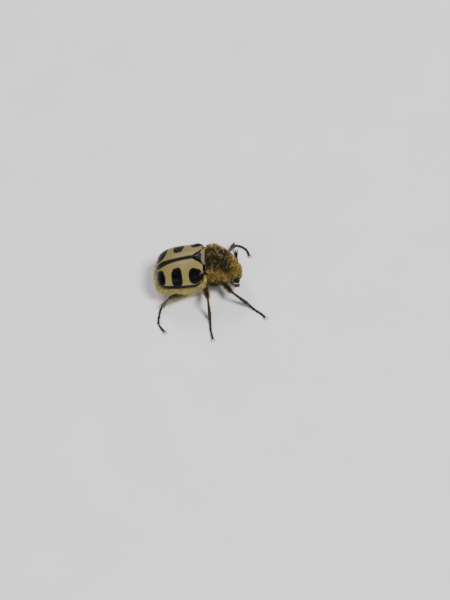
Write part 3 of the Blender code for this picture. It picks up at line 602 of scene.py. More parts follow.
def tilted_rings(sections, turns):
    """Rings of tilted superellipses: up is height + rise * cos(pitch), forward gains rise * sin(pitch)."""
    forward, height, pitch, width, rise, depth = np.asarray(sections, float).T[..., None]
    left, up = superellipse(turns, BODY_ROUNDNESS)
    up = up * np.where(up > 0, rise, depth)
    pitch = np.radians(pitch)
    return body_point(forward + up * np.sin(pitch), left * width, height + up * np.cos(pitch))


def trunk_rings(stations, turns):
    """Rings of the trunk: one superellipse from the belly to the margin of the wing cases, one under them."""
    forward, width, belly, roundness = np.asarray(stations, float).T[..., None]
    back = CASE_BASE - forward
    ledge = case_size(back)[1] - GAP
    cover, _, top = case_size(back, CASE_THICKNESS + GAP)
    below, above = superellipse(turns, roundness), superellipse(turns, CASE_ROUNDNESS)
    under = turns < 0
    share = np.where(under, below[0], above[0])
    left = share * np.where(under, width, cover)
    up = np.where(under, below[1] * (ledge - belly), above[1] * (top - ledge))
    return body_point(forward - set_back(share, back), left, ledge + up)


def shrunk(ring, share, step):
    """A ring pulled towards its middle, then moved forward and up by a step in millimetres."""
    forward, up = step
    return ring.mean(-2, keepdims=True) * (1 - share) + ring * share + np.array([0, -forward, up]) * MM


def softened(rows, times):
    """Rows averaged with their neighbours this many times, with the end rows kept."""
    rows = rows.copy()
    for _ in range(times):
        rows[1:-1] = (rows[:-2] + 2 * rows[1:-1] + rows[2:]) / 4
    return rows


def even_rows(knots, count):
    """Rings evenly spaced between the knots."""
    travel = np.linalg.norm(np.diff(knots, axis=0), axis=2).mean(1)
    reach = np.concatenate([[0], np.cumsum(travel)])
    place = np.interp(np.linspace(0, reach[-1], count), reach, np.arange(len(knots)))
    low = np.minimum(place.astype(int), len(knots) - 2)
    share = (place - low)[:, None, None]
    return knots[low] * (1 - share) + knots[low + 1] * share


def outward_normals(grid):
    """Unit normals of a grid of rings, turned away from each ring's middle."""
    along = np.gradient(grid, axis=0)
    around = np.roll(grid, -1, axis=1) - np.roll(grid, 1, axis=1)
    normals = unit(np.cross(along, around))
    facing = np.einsum("rck,rck->", normals, grid - grid.mean(1, keepdims=True))
    return normals * np.sign(facing)


def forward_of(points):
    """How far forward points lie, in the beetle's millimetres."""
    return (START - points[..., 1]) / MM


def body_skin():
    """The grid of the skin, tail to neck, with a groove at every border between two belly plates."""
    turns = np.linspace(-np.pi, np.pi, SKIN_COLUMNS, endpoint=False)
    tail, trunk = tilted_rings(PYGIDIUM[::-1], turns), trunk_rings(TRUNK[::-1], turns)
    chest = tilted_rings(PROTHORAX, turns)
    waist = shrunk(chest[:1], WAIST_SHARE, WAIST_STEP)
    collar = shrunk(chest[-1:], COLLAR_SHARE, COLLAR_STEP)
    rows = even_rows(np.concatenate([tail, trunk, waist, chest, collar]), SKIN_ROWS)
    grid, crisp = softened(rows, SKIN_SOFTENING), softened(rows, RIM_SOFTENING)
    at_rim = np.exp(-((forward_of(rows) - RIM_PLACE) / RIM_REACH) ** 2)[..., None]
    grid = grid * (1 - at_rim) + crisp * at_rim
    place = forward_of(grid)[..., None]
    grooves = sum(np.exp(-((place - groove) / SEGMENT_WIDTH) ** 2) for groove in SEGMENT_PLACES)
    return turns, grid - outward_normals(grid) * SEGMENT_DEPTH * MM * grooves


SKIN_TURNS, SKIN = body_skin()
print("skin grid", SKIN.shape, "forward from", round(float(forward_of(SKIN).min()), 2), "to",
      round(float(forward_of(SKIN).max()), 2))

# %% [markdown]
# The skin itself is black, a little olive on the pronotum, the shield between head and wing cases, and it
# shows only where the fur is thin. Small pits cover it, because the shell of this animal is densely
# punctured, and each pit carries a hair. They are bump, as a pit is only a fiftieth of a millimetre wide,
# and their hollows are darkened in colour as painted shade.

# %% Shell materials
def shell_material(name, dark, light, roughness, pits_per_mm, depth_mm, **constants):
    """Black or brown shell: two tones in soft patches, with scattered pits."""
    made, tree, shader = new_material(name, roughness, dark, specular_ior_level=0.25, **constants)
    place = object_place(tree)
    tone = ramp(tree, noise(tree, place, 2.2, 4), [(0.35, dark), (0.7, light)])
    pit = remap(tree, cells(tree, place, pits_per_mm), 0.0, 0.45)
    # Painted shade: the colour darkens towards the dark tone inside each pit's hollow.
    tree.links.new(blend(tree, remap(tree, pit, 0.0, 1.0, 0.55, 0.0), tone, dark),
                   shader.inputs["Base Color"])
    rough = remap(tree, noise(tree, place, 7, 3), 0.3, 0.7, roughness - 0.07, roughness + 0.1)
    tree.links.new(rough, shader.inputs["Roughness"])
    fine = sums(tree, "MULTIPLY", noise(tree, place, 30, 3), 0.35)
    bumped(tree, shader, sums(tree, "ADD", pit, fine), depth_mm, 0.7)
    return made


SKIN_BLACK = shell_material("skin_shell", (0.010, 0.009, 0.007), (0.028, 0.024, 0.014), 0.42, 7, 0.03)
GLOSS_BLACK = shell_material("gloss_shell", (0.006, 0.005, 0.005), (0.014, 0.011, 0.010), 0.24, 6, 0.022,
                             coat_weight=0.3, coat_roughness=0.12)
LEG_BLACK = shell_material("leg_shell", (0.008, 0.006, 0.005), (0.022, 0.014, 0.010), 0.33, 9, 0.016)
BROWN_SHELL = shell_material("brown_shell", (0.030, 0.012, 0.006), (0.085, 0.035, 0.014), 0.34, 10, 0.010)

points, quads, triangles = closed_rings(SKIN)
body = mesh_piece("body_skin", points, quads, triangles, SKIN_BLACK)
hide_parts("prothorax", "metathorax", "abdomen", "pygidium")
print("body skin", len(quads), "quads")

# %% [markdown]
# The scutellum is the small shield that locks the two wing cases together at their base. It is a thin
# plate with a rounded point at its back, raised a little above its neighbours, and its front half wears
# short pale down. It follows the same formula as the wing cases, so it can't sink into them.

# %% Scutellum
SCUTELLUM_REACH, SCUTELLUM_RAISE, SCUTELLUM_DOME, SCUTELLUM_DEPTH = 0.03, 0.05, 0.10, 0.3


def scutellum_point(along, across, under=0.0):
    """The plate: along from its front edge to its point, across from -1 on the right to 1 on the left."""
    back = SCUTELLUM_LENGTH * along
    half = np.maximum(scutellum_width(back), 0.01)
    width, margin, top = case_size(back)
    left = half * across
    crown = (1 - np.abs(left / width) ** CASE_ROUNDNESS) ** (1 / CASE_ROUNDNESS)
    edge = np.minimum(np.minimum(half * (1 - np.abs(across)), back), SCUTELLUM_LENGTH - back)
    dome = SCUTELLUM_DOME * np.clip(edge / EDGE_FADE, 0, 1) ** 0.6 - rolled(edge, EDGE_ROLL)
    up = margin + (top - margin) * crown + SCUTELLUM_RAISE + dome - under
    return body_point(CASE_BASE + SCUTELLUM_REACH - back, left, up)


along, across = np.meshgrid(spread(70), spread(60) * 2 - 1, indexing="ij")
SCUTELLUM = scutellum_point(along, across)
depth = SCUTELLUM_DEPTH * np.clip((1 - (2 * along - 1) ** 8) * (1 - across ** 8), 0, 1) ** 0.5
points, quads, triangles = closed_plate(SCUTELLUM, scutellum_point(along, across, depth))
plate = mesh_piece("scutellum_plate", points, quads, triangles, GLOSS_BLACK)
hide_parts("scutellum")
print("scutellum", len(quads), "quads")

# %% [markdown]
# The head is a flat box bent well down, with a shield called the clypeus over the mouth. Its front margin
# is turned up like the rim of a tray and has a shallow notch in the middle, a fold crosses it between the
# eyes, and each eye sits in a socket with a small ridge over it. The basic form is a loft like the skin,
# and each of these details is a smooth push along its normals, so it can be tuned on its own.

# %% Head
HEAD = (
    (2.65, 2.30, 52, 0.80, 0.60, 0.60),
    (2.78, 2.22, 55, 0.95, 0.70, 0.70),
    (2.88, 2.00, 59, 1.08, 0.80, 0.76),
    (2.97, 1.70, 63, 1.06, 0.74, 0.68),
    (3.05, 1.36, 67, 0.88, 0.50, 0.48),
    (3.13, 1.04, 70, 0.82, 0.32, 0.34),
    (3.185, 0.81, 72, 0.78, 0.22, 0.24),
)
HEAD_ROWS, HEAD_COLUMNS, HEAD_SOFTENING = 120, 120, 9
EYE_PLACE, EYE_RADII, EYE_ORIGIN = (3.2, 1.07, 1.82), (0.35, 0.42, 0.41), (2.58, 0, 1.66)
SOCKET_DEPTH, SOCKET_REACH = 0.16, 0.52
BROW_HEIGHT, BROW_GAP, BROW_WIDTH = 0.07, 0.06, 0.07
RIM_HEIGHT, RIM_WIDTH, RIM_FRONT = 0.09, 0.07, 0.975
RIM_SIDE, RIM_SIDE_WIDTH, RIM_SIDE_START, RIM_SIDE_SHARE = 0.80, 0.12, 0.55, 0.6
NOTCH_DEPTH, NOTCH_WIDTH, NOTCH_REACH = 0.14, 0.32, 0.1
FOLD_HEIGHT, FOLD_PLACE, FOLD_WIDTH = 0.05, 0.52, 0.04


def eye_distance(points, way):
    """Millimetres from points to the middle of one eye."""
    return np.linalg.norm(points - body_point(EYE_PLACE[0], way * EYE_PLACE[1], EYE_PLACE[2]), axis=2) / MM


def head_grid():
    """The head from its neck to the front margin, with its rim, notch, fold, sockets and brows."""
    turns = np.linspace(-np.pi, np.pi, HEAD_COLUMNS, endpoint=False)
    grid = softened(even_rows(tilted_rings(HEAD, turns), HEAD_ROWS), HEAD_SOFTENING)
    along = np.linspace(0, 1, HEAD_ROWS)[:, None, None]
    left = ((grid[..., 0] - MIDLINE) / MM)[..., None]
    top = np.clip(np.sin(turns), 0, 1)[None, :, None] ** 0.5
    side = np.exp(-((np.abs(left) - RIM_SIDE) / RIM_SIDE_WIDTH) ** 2) * (along > RIM_SIDE_START)
    front = np.exp(-((along - RIM_FRONT) / RIM_WIDTH) ** 2)
    push = RIM_HEIGHT * top * np.maximum(front, RIM_SIDE_SHARE * side)
    push = push + FOLD_HEIGHT * top * np.exp(-((along - FOLD_PLACE) / FOLD_WIDTH) ** 2)
    for way in (-1, 1):
        apart = eye_distance(grid, way)[..., None]
        push = push - SOCKET_DEPTH * np.clip(1 - apart / SOCKET_REACH, 0, 1) ** 0.5
        push = push + BROW_HEIGHT * np.exp(-((apart - SOCKET_REACH - BROW_GAP) / BROW_WIDTH) ** 2)
    grid = grid + outward_normals(grid) * push * MM
    notch = (NOTCH_DEPTH * np.exp(-(left / NOTCH_WIDTH) ** 2)
             * np.clip((along + NOTCH_REACH - 1) / NOTCH_REACH, 0, 1))
    return turns, grid + np.array([0, 0.3, 1.0]) * notch * MM


HEAD_TURNS, HEAD_GRID = head_grid()
points, quads, triangles = closed_rings(HEAD_GRID)
head = mesh_piece("head_shell", points, quads, triangles, GLOSS_BLACK)
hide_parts("head")
print("head", len(quads), "quads")

# %% [markdown]
# An insect's eye is a dome of many small lenses. Here it is an ellipsoid whose lenses are bump on a cell
# pattern, under a clear gloss, because single lenses are only a hundredth of a millimetre wide.

# %% Eyes
def turned_to(direction):
    """Three unit vectors: two across the direction, and the direction itself."""
    ahead = unit(np.asarray(direction, float))
    aside = unit(np.cross(ahead, (0, 0, 1.0)))
    return np.stack([aside, np.cross(ahead, aside), ahead])


def ellipsoid(centre, radii, direction, rows=28, columns=40):
    """Closed rings of an ellipsoid, whose third radius in millimetres lies along the direction."""
    polar = np.linspace(0.06, np.pi - 0.06, rows)[:, None]
    turn = np.linspace(0, 2 * np.pi, columns, endpoint=False)[None, :]
    ball = np.broadcast_arrays(np.sin(polar) * np.cos(turn), np.sin(polar) * np.sin(turn), np.cos(polar))
    ball = np.stack(ball, -1)
    return centre + (ball * np.asarray(radii) * MM) @ turned_to(direction)


def eye_material():
    """Black lenses under clear gloss, with a faint brown depth."""
    made, tree, shader = new_material("eye_lens", 0.2, (0.008, 0.006, 0.006), coat_weight=0.08,
                                      coat_roughness=0.06, specular_ior_level=0.16)
    place = object_place(tree)
    depth = ramp(tree, noise(tree, place, 3, 2),
                 [(0.3, (0.006, 0.005, 0.005)), (0.75, (0.022, 0.012, 0.009))])
    tree.links.new(depth, shader.inputs["Base Color"])
    bumped(tree, shader, sums(tree, "SUBTRACT", 1.0, cells(tree, place, 32)), 0.006, 0.7)
    return made


lens = eye_material()
for name, side in SIDES:
    centre = body_point(EYE_PLACE[0], side * EYE_PLACE[1], EYE_PLACE[2])
    away = centre - body_point(EYE_ORIGIN[0], side * EYE_ORIGIN[1], EYE_ORIGIN[2])
    points, quads, triangles = closed_rings(ellipsoid(centre, EYE_RADII, away))
    piece = mesh_piece(f"eye_lens_{name}", points, quads, triangles, lens)
    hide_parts(f"eye_{name}")
print("eyes", 2 * len(quads), "quads")

# %% [markdown]
# Feelers, palps and legs are all limbs: rings of points square to a path, whose two radii change along it.
# One helper lays the rings and another rounds the ends, so each limb below is only its path and its
# profile. Joints look right when one limb's rounded end sits a little inside the next one.

# %% Limb helpers
UPRIGHT = (0, 0, 1.0)


def side_points(path, side=1):
    """World points of a path of (forward, left, up), with left times the side."""
    return [body_point(forward, side * left, up) for forward, left, up in path]


def limb_rings(path, radii, reference=UPRIGHT, columns=24):
    """Rings square to a path. Radii are millimetres, or pairs: along the reference direction, and across."""
    radii = np.asarray(radii)
    radii = radii if radii.ndim == 2 else np.stack([radii, radii], 1)
    tangent = unit(np.gradient(path, axis=0))
    reference = np.broadcast_to(reference, path.shape)
    side = unit(reference - tangent * np.einsum("ij,ij->i", tangent, reference)[:, None])
    other = np.cross(tangent, side)
    angle = np.linspace(0, 2 * np.pi, columns, endpoint=False)[None, :, None]
    one, two = (radii[:, k, None, None] * MM for k in (0, 1))
    return path[:, None] + side[:, None] * np.cos(angle) * one + other[:, None] * np.sin(angle) * two


def round_ends(share, start=0.06, stop=0.06):
    """1 along a limb and a quarter circle down to nearly nothing at each end."""
    near, far = np.clip(share / start, 0.03, 1), np.clip((1 - share) / stop, 0.03, 1)
    return np.sqrt(1 - (1 - near) ** 2) * np.sqrt(1 - (1 - far) ** 2)


def profile(share, knots):
    """Smooth sizes through (share, size) knots."""
    places, sizes = np.asarray(knots, float).T
    return smooth_rows(sizes, np.interp(share, places, np.arange(len(places))))


def curve(knots, count):
    """Points evenly spread in number along a smooth path through knots."""
    return smooth_rows(np.asarray(knots), np.linspace(0, len(knots) - 1, count))


def limb(path_knots, radii, size_knots, reference, rows=48, columns=24, ends=(0.06, 0.06)):
    """A limb with rounded ends: radii times the profile through its size knots."""
    share = np.linspace(0, 1, rows)
    size = profile(share, size_knots) * round_ends(share, *ends)
    return limb_rings(curve(path_knots, rows), size[:, None] * np.asarray(radii), reference, columns)


def beaded(bounds, share, base=0.62, swell=0.8):
    """Sizes of a row of joints, each a cone that widens to its far end and then drops to the next one."""
    bounds = np.asarray(bounds, float)
    index = np.clip(np.searchsorted(bounds, share, side="right") - 1, 0, len(bounds) - 2)
    inside = (share - bounds[index]) / (bounds[index + 1] - bounds[index])
    opening = base + (1 - base) * (inside / swell) ** 0.7
    closing = np.sqrt(np.clip(1 - ((inside - swell) / (1 - swell + 0.02)) ** 2, 0, 1))
    return np.where(inside < swell, opening, base * 0.6 + (1 - base * 0.6) * closing)


def closed_parts(grids):
    """Several ring grids as one mesh."""
    return joined([closed_rings(grid) for grid in grids])


print("limb helpers ready")

# %% [markdown]
# A chafer's feeler starts with one long joint, the scape, goes on in small beads, and ends in a club of
# three leaves that can fan out. The leaves are what names the whole family, so they are modelled one by
# one. The feelers are spread sideways in front of the eyes.

# %% Feelers
FEELER_PATH = ((3.3, 1.0, 1.06), (3.4, 1.33, 1.2), (3.4, 1.65, 1.48), (3.33, 1.93, 1.82), (3.24, 2.13, 2.1))
CLUB_END, CLUB_LENGTH, CLUB_RADII, CLUB_FAN = (3.2, 2.5, 2.54), 0.36, (0.085, 0.22, 0.52), 9
LEAF_STEP = 0.10
SCAPE_SHARE, FEELER_RADIUS, FEELER_ROWS = 0.36, 0.115, 110


def feeler_parts(side):
    """The stalk, from the scape to the last bead, and the three leaves."""
    knots = side_points(FEELER_PATH, side)
    share = np.linspace(0, 1, FEELER_ROWS)
    scape = FEELER_RADIUS * (0.7 + 0.45 * np.sin(np.pi * np.clip(share / SCAPE_SHARE, 0, 1) ** 1.5) ** 2)
    beads = FEELER_RADIUS * 0.95 * beaded(np.linspace(SCAPE_SHARE, 1, 7), share, 0.5, 0.7)
    size = np.where(share < SCAPE_SHARE, scape, beads) * round_ends(share, 0.03, 0.03)
    parts = [limb_rings(curve(knots, FEELER_ROWS), size, columns=20)]
    along = unit(side_points([CLUB_END], side)[0] - knots[-1])
    across = unit(np.cross(along, UPRIGHT))
    for leaf in (-1, 0, 1):
        heading = unit(along + across * leaf * np.tan(np.radians(CLUB_FAN)))
        centre = knots[-1] + heading * CLUB_LENGTH * MM + across * leaf * LEAF_STEP * MM
        parts.append(ellipsoid(centre, CLUB_RADII, heading))
    return parts


for name, side in SIDES:
    points, quads, triangles = closed_parts(feeler_parts(side))
    piece = mesh_piece(f"feeler_stalk_{name}", points, quads, triangles, BROWN_SHELL)
    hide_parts(f"feeler_{name}")
print("feelers", 2 * len(quads), "quads")

# %% [markdown]
# Under the clypeus sit the upper lip, the jaws, the lower lip and two pairs of small feelers, the palps.
# This beetle licks pollen with a brush on its jaws, so they are soft and short. From most sides only the
# palps show, and each has four joints with a longer last one.

# %% Mouthparts
LIP = (((2.22, 0, 1.28), (0.24, 0.42)), ((2.34, 0, 0.98), (0.24, 0.5)), ((2.54, 0, 0.72), (0.16, 0.32)))
PALPS = (
    ((2.37, 0.3, 0.90), (2.5, 0.52, 0.72), (2.66, 0.66, 0.58), (2.88, 0.68, 0.48)),
    ((2.42, 0.16, 0.78), (2.54, 0.26, 0.62), (2.66, 0.32, 0.53), (2.78, 0.33, 0.48)),
)
PALP_RADII, PALP_BOUNDS = (0.085, 0.06), (0, 0.2, 0.42, 0.62, 1)
JAW_PATH = ((2.68, 0.5, 0.98), (2.9, 0.5, 0.83), (3.03, 0.3, 0.7), (3.0, 0.1, 0.67))
JAW_RADII, JAW_SIZES = (0.1, 0.16), ((0, 1.1), (0.5, 1), (1, 0.5))
UPPER_LIP, UPPER_LIP_RADII = ((2.88, 0, 0.9), (3.01, 0, 0.77), (3.07, 0, 0.68)), (0.07, 0.4)
LIP_ROWS, PALP_ROWS = 30, 70

share = np.linspace(0, 1, LIP_ROWS)
radii = smooth_rows([size for _, size in LIP], share * 2) * round_ends(share, 0.1, 0.25)[:, None]
parts = [limb_rings(curve(side_points([place for place, _ in LIP]), LIP_ROWS), radii)]
radii = np.array(UPPER_LIP_RADII) * round_ends(share, 0.2, 0.5)[:, None]
parts.append(limb_rings(curve(side_points(UPPER_LIP), LIP_ROWS), radii, (0, 1.0, 0.4)))
for side in (-1, 1):
    for palp, radius in zip(PALPS, PALP_RADII):
        share = np.linspace(0, 1, PALP_ROWS)
        size = radius * beaded(PALP_BOUNDS, share, 0.6, 0.85) * round_ends(share, 0.04, 0.05)
        parts.append(limb_rings(curve(side_points(palp, side), PALP_ROWS), size, columns=14))
    parts.append(limb(side_points(JAW_PATH, side), JAW_RADII, JAW_SIZES, UPRIGHT, 30, 18, (0.1, 0.2)))
points, quads, triangles = closed_parts(parts)
mouth = mesh_piece("mouth", points, quads, triangles, BROWN_SHELL)
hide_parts("mouthparts")
print("mouthparts", len(quads), "quads")

# %% [markdown]
# Each leg has a thigh (femur), a shin (tibia) and a foot (tarsus) of five joints with two claws. The joints
# of the solid's legs are given here again as one table, from the hip along the leg to the end of the foot.
# The visible limbs are a little thinner than the solid ones, which have to be thick enough to be made.

# %% Leg joints
FOOT_HEIGHT = 0.15
# Socket in the body, hip, knee, ankle, then the foot's places on the floor
LEGS = {
    "front_right": ((1.5, -0.45, 2.0), (1.55, -0.8, 1.3), (2.53, -2.87, 2.1), (4.27, -3.55, 0.42),
                    (5.05, -4.25), (5.8, -4.95), (6.1, -5.4)),
    "front_left": ((1.5, 0.45, 2.0), (1.55, 0.8, 1.3), (2.2, 3.1, 1.75), (2.91, 5.28, 0.42),
                   (3.64, 5.32), (4.33, 4.72), (4.6, 3.9)),
    "mid_right": ((-0.6, -0.7, 1.9), (-0.55, -1.1, 1.15), (-0.13, -3.79, 2.5), (-0.09, -5.08, 0.42),
                  (-0.06, -5.85), (-0.03, -6.8), (0.16, -7.95)),
    "mid_left": ((-0.6, 0.7, 1.9), (-0.55, 1.1, 1.15), (-0.3, 3.65, 2.2), (-0.3, 5.05, 0.4),
                 (-0.8, 5.62), (-1.6, 5.78), (-2.75, 5.6)),
    "hind_right": ((-2.2, -1.2, 1.7), (-2.35, -1.7, 1.0), (-4.42, -3.58, 2.6), (-5.52, -2.96, 0.42),
                   (-5.85, -3.9), (-5.95, -5.3), (-5.35, -6.45)),
    "hind_left": ((-2.2, 1.2, 1.7), (-2.35, 1.7, 1.0), (-4.0, 3.5, 2.4), (-5.05, 3.3, 0.4),
                  (-5.3, 3.95), (-4.85, 5.05), (-3.75, 5.6)),
}
# Half thickness across the leg's plane and in it
FEMUR_RADII = {"front": (0.25, 0.35), "mid": (0.25, 0.35), "hind": (0.28, 0.40)}
TIBIA_RADII = {"front": (0.17, 0.24), "mid": (0.17, 0.20), "hind": (0.18, 0.21)}
FEMUR_SIZES = ((0, 0.62), (0.12, 0.84), (0.4, 1.0), (0.75, 0.84), (0.93, 0.66), (1, 0.7))
TIBIA_SIZES = ((0, 0.66), (0.1, 0.62), (0.3, 0.78), (0.65, 1.0), (0.88, 1.28), (1, 1.2))
TARSUS_RADIUS = 0.145
TARSUS_BOUNDS = (0, 0.18, 0.34, 0.5, 0.66, 1)


def leg_points(name):
    """The socket, hip, knee, ankle and foot places of a leg, in world metres."""
    joints = LEGS[name]
    toes = [body_point(forward, left, FOOT_HEIGHT) for forward, left in joints[4:]]
    return [body_point(*joint) for joint in joints[:4]] + toes


def leg_plane(name):
    """The direction square to the plane of the thigh and the shin."""
    _, hip, knee, ankle = leg_points(name)[:4]
    return unit(np.cross(knee - hip, ankle - knee))


print("legs", list(LEGS))

# %% [markdown]
# The hips stay with the body, so they are pieces of their own: a stout barrel, the coxa, with a short ring,
# the trochanter, that carries the thigh. The thigh is widest in its middle. The shin is slim at the knee and
# widens to its end, where two spurs stand, and a front shin also has two teeth for digging.

# %% Hips, thighs and shins
COXA_RADIUS, COXA_SIZES = 0.36, ((0, 1.15), (0.55, 1.2), (1, 0.8))
TROCHANTER_RADII, TROCHANTER_SIZES = (0.25, 0.27), ((0, 0.9), (0.5, 1), (1, 0.9))
SPUR_LENGTH, SPUR_RADIUS = 0.34, 0.05
TOOTH_SHARES, TOOTH_LENGTH, TOOTH_RADIUS = (0.56, 0.8), 0.36, 0.12


def spike(root, direction, length, radius, bend=(0, 0, 0)):
    """A slim bent cone with a blunt tip."""
    share = np.linspace(0, 1, 12)
    path = root + (direction * share[:, None] * length + np.asarray(bend) * share[:, None] ** 2 * length) * MM
    size = radius * (1 - share) ** 0.8 + 0.008
    across = unit(np.cross(direction, (0.3, 0.2, 1.0)))
    return limb_rings(path, size, across, 10)


hip_parts, LEG_GRIDS = [], {}
for name in LEGS:
    pair = name.split("_")[0]
    socket, hip, knee, ankle = leg_points(name)[:4]
    plane = leg_plane(name)
    thigh, shin = unit(knee - hip), unit(ankle - knee)
    hip_parts.append(limb([socket, hip], (COXA_RADIUS, COXA_RADIUS), COXA_SIZES, plane, ends=(0.1, 0.16)))
    hip_parts.append(limb([hip - thigh * 0.18 * MM, hip + thigh * 0.2 * MM], TROCHANTER_RADII,
                          TROCHANTER_SIZES, plane, 20, ends=(0.3, 0.3)))
    femur = limb([hip, knee + thigh * 0.1 * MM], FEMUR_RADII[pair], FEMUR_SIZES, plane, 56, ends=(0.05, 0.07))
    tibia = limb([knee - shin * 0.08 * MM, ankle + shin * 0.04 * MM], TIBIA_RADII[pair], TIBIA_SIZES,
                 plane, 56, ends=(0.1, 0.07))
    LEG_GRIDS[name] = (femur, tibia)
    inner = np.cross(plane, shin)
    outer = inner * np.sign(inner[2])
    spikes = [spike(ankle + (plane * way * 0.1 - outer * 0.12) * MM,
                    unit(shin - outer * 0.35 + plane * way * 0.3),
                    SPUR_LENGTH, SPUR_RADIUS, outer * 0.2) for way in (-1, 1)]
    if pair == "front":
        width = TIBIA_RADII[pair][1] * 0.7
        spikes += [spike(knee + (ankle - knee) * place + outer * width * MM, unit(outer + shin * 0.5),
                         TOOTH_LENGTH, TOOTH_RADIUS, shin * 0.3) for place in TOOTH_SHARES]
        spikes.append(spike(ankle + outer * width * MM - shin * 0.1 * MM, unit(outer + shin), TOOTH_LENGTH,
                            TOOTH_RADIUS, shin * 0.3))
    for part, grids in (("femur", [femur]), ("tibia", [tibia, *spikes])):
        points, quads, triangles = closed_parts(grids)
        piece = mesh_piece(f"leg_{part}_{name}", points, quads, triangles, LEG_BLACK)
        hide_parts(f"{part}_{name}")
points, quads, triangles = closed_parts(hip_parts)
mesh_piece("hips", points, quads, triangles, LEG_BLACK)
print("hips", len(quads), "quads, limbs", 2 * len(LEGS))

# %% [markdown]
# The foot rests on the floor: five joints like small bells, one inside the next, and two hooked claws. A
# formula in the share of the foot's length makes the bells. Whatever would dip under the floor is held at
# it, because a real foot presses its pad flat.

# %% Feet
FOOT_ROWS, CLAW_ROWS, LOWEST = 150, 22, 0.004
CLAW_LENGTH, CLAW_RADIUS, CLAW_SPREAD, CLAW_HOOK = 0.56, 0.062, 0.5, 0.1
# Shares of the claw's length, and its height there
CLAW_REACH, CLAW_LIFT = (0, 0.35, 0.75, 1), (0, 0.09, 0.06, -0.09)


def foot_parts(name):
    """The foot's joints in one limb, and its two claws."""
    points = leg_points(name)
    knots = [points[3] + unit(points[3] - points[2]) * 0.02 * MM, *points[4:]]
    share = np.linspace(0, 1, FOOT_ROWS)
    size = (TARSUS_RADIUS * (1.06 - 0.16 * share) * beaded(TARSUS_BOUNDS, share, 0.55)
            * round_ends(share, 0.02, 0.03))
    path = curve(knots, FOOT_ROWS)
    parts = [limb_rings(path, size, columns=18)]
    heading = unit(path[-1] - path[-8])
    aside = unit(np.cross(heading, UPRIGHT))
    reach, lift = np.array(CLAW_REACH)[:, None], np.outer(CLAW_LIFT, UPRIGHT)
    for way in (-1, 1):
        run = unit(heading + aside * way * CLAW_SPREAD)
        root = path[-1] + (aside * way * 0.04 - heading * 0.04) * MM
        knots = root + (run * reach * CLAW_LENGTH + lift - aside * way * CLAW_HOOK * reach ** 2) * MM
        share = np.linspace(0, 1, CLAW_ROWS)
        size = CLAW_RADIUS * (1 - share ** 1.5 * 0.85) * round_ends(share, 0.05, 0.05)
        parts.append(limb_rings(curve(knots, CLAW_ROWS), size, columns=12))
    for part in parts:
        part[..., 2] = np.maximum(part[..., 2], LOWEST * MM)
    return parts


for name in LEGS:
    parts = foot_parts(name)
    LEG_GRIDS[name] += (parts[0],)
    points, quads, triangles = closed_parts(parts)
    piece = mesh_piece(f"foot_{name}", points, quads, triangles, LEG_BLACK)
    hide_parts(f"tarsus_{name}")
print("feet", len(LEGS), "of", len(quads), "quads")

# %% [markdown]
# Fur makes most of this beetle's outline. Every hair here is a real, closed, three-sided thread that tapers
# to a point and bends over, because particle hair would be lost when the model is used elsewhere. Roots are
# scattered over a grid of the skin by area, and all hairs of a coat are built at once as arrays. Each hair
# keeps how far along it a point is, a random tone, and a zone value, for its colour.

# %% Hair helpers
# Depth of the roots, lost share of the thickness, size of a hair's patch on the map,
# and share of tone that a clump sets
HAIR_SINK, HAIR_TAPER, PATCH, CLUMP_TONE = 0.04, 0.55, 0.003, 0.5
HAIR_LOWEST = 0.01


def scattered(grid, weight, count, dice):
    """Places on a grid of rings, as rows and columns with fractions, by its cells' areas times a weight."""
    along = grid[1:] - grid[:-1]
    around = (np.roll(grid, -1, axis=1) - grid)[:-1]
    chance = (np.linalg.norm(np.cross(along, around), axis=2) * weight[:-1]).ravel()
    row, column = np.divmod(dice.choice(chance.size, count, p=chance / chance.sum()), grid.shape[1])
    return row + dice.random(count), column + dice.random(count)


def sampled(grid, row, column):
    """The values of a grid of rings at places between its points."""
    low, left = row.astype(int), column.astype(int)
    right = (left + 1) % grid.shape[1]
    extra = (1,) * (grid.ndim - 2)
    down, aside = (row - low).reshape(-1, *extra), (column - left).reshape(-1, *extra)
    near = grid[low, left] * (1 - aside) + grid[low, right] * aside
    far = grid[low + 1, left] * (1 - aside) + grid[low + 1, right] * aside
    return near * (1 - down) + far * down


def clumped(tips, row, column, rows, columns, dice):
    """For each hair its clump's number and mean tip. Clumps are blocks of the grid, staggered row by row."""
    band = (row / rows).astype(int)
    shift = dice.random(band.max() + 2) * columns
    block = band * 1000 + ((column + shift[band]) / columns).astype(int)
    _, member = np.unique(block, return_inverse=True)
    sizes = np.bincount(member)
    means = np.stack([np.bincount(member, tips[:, axis]) / sizes for axis in range(3)], 1)
    return member, means[member]


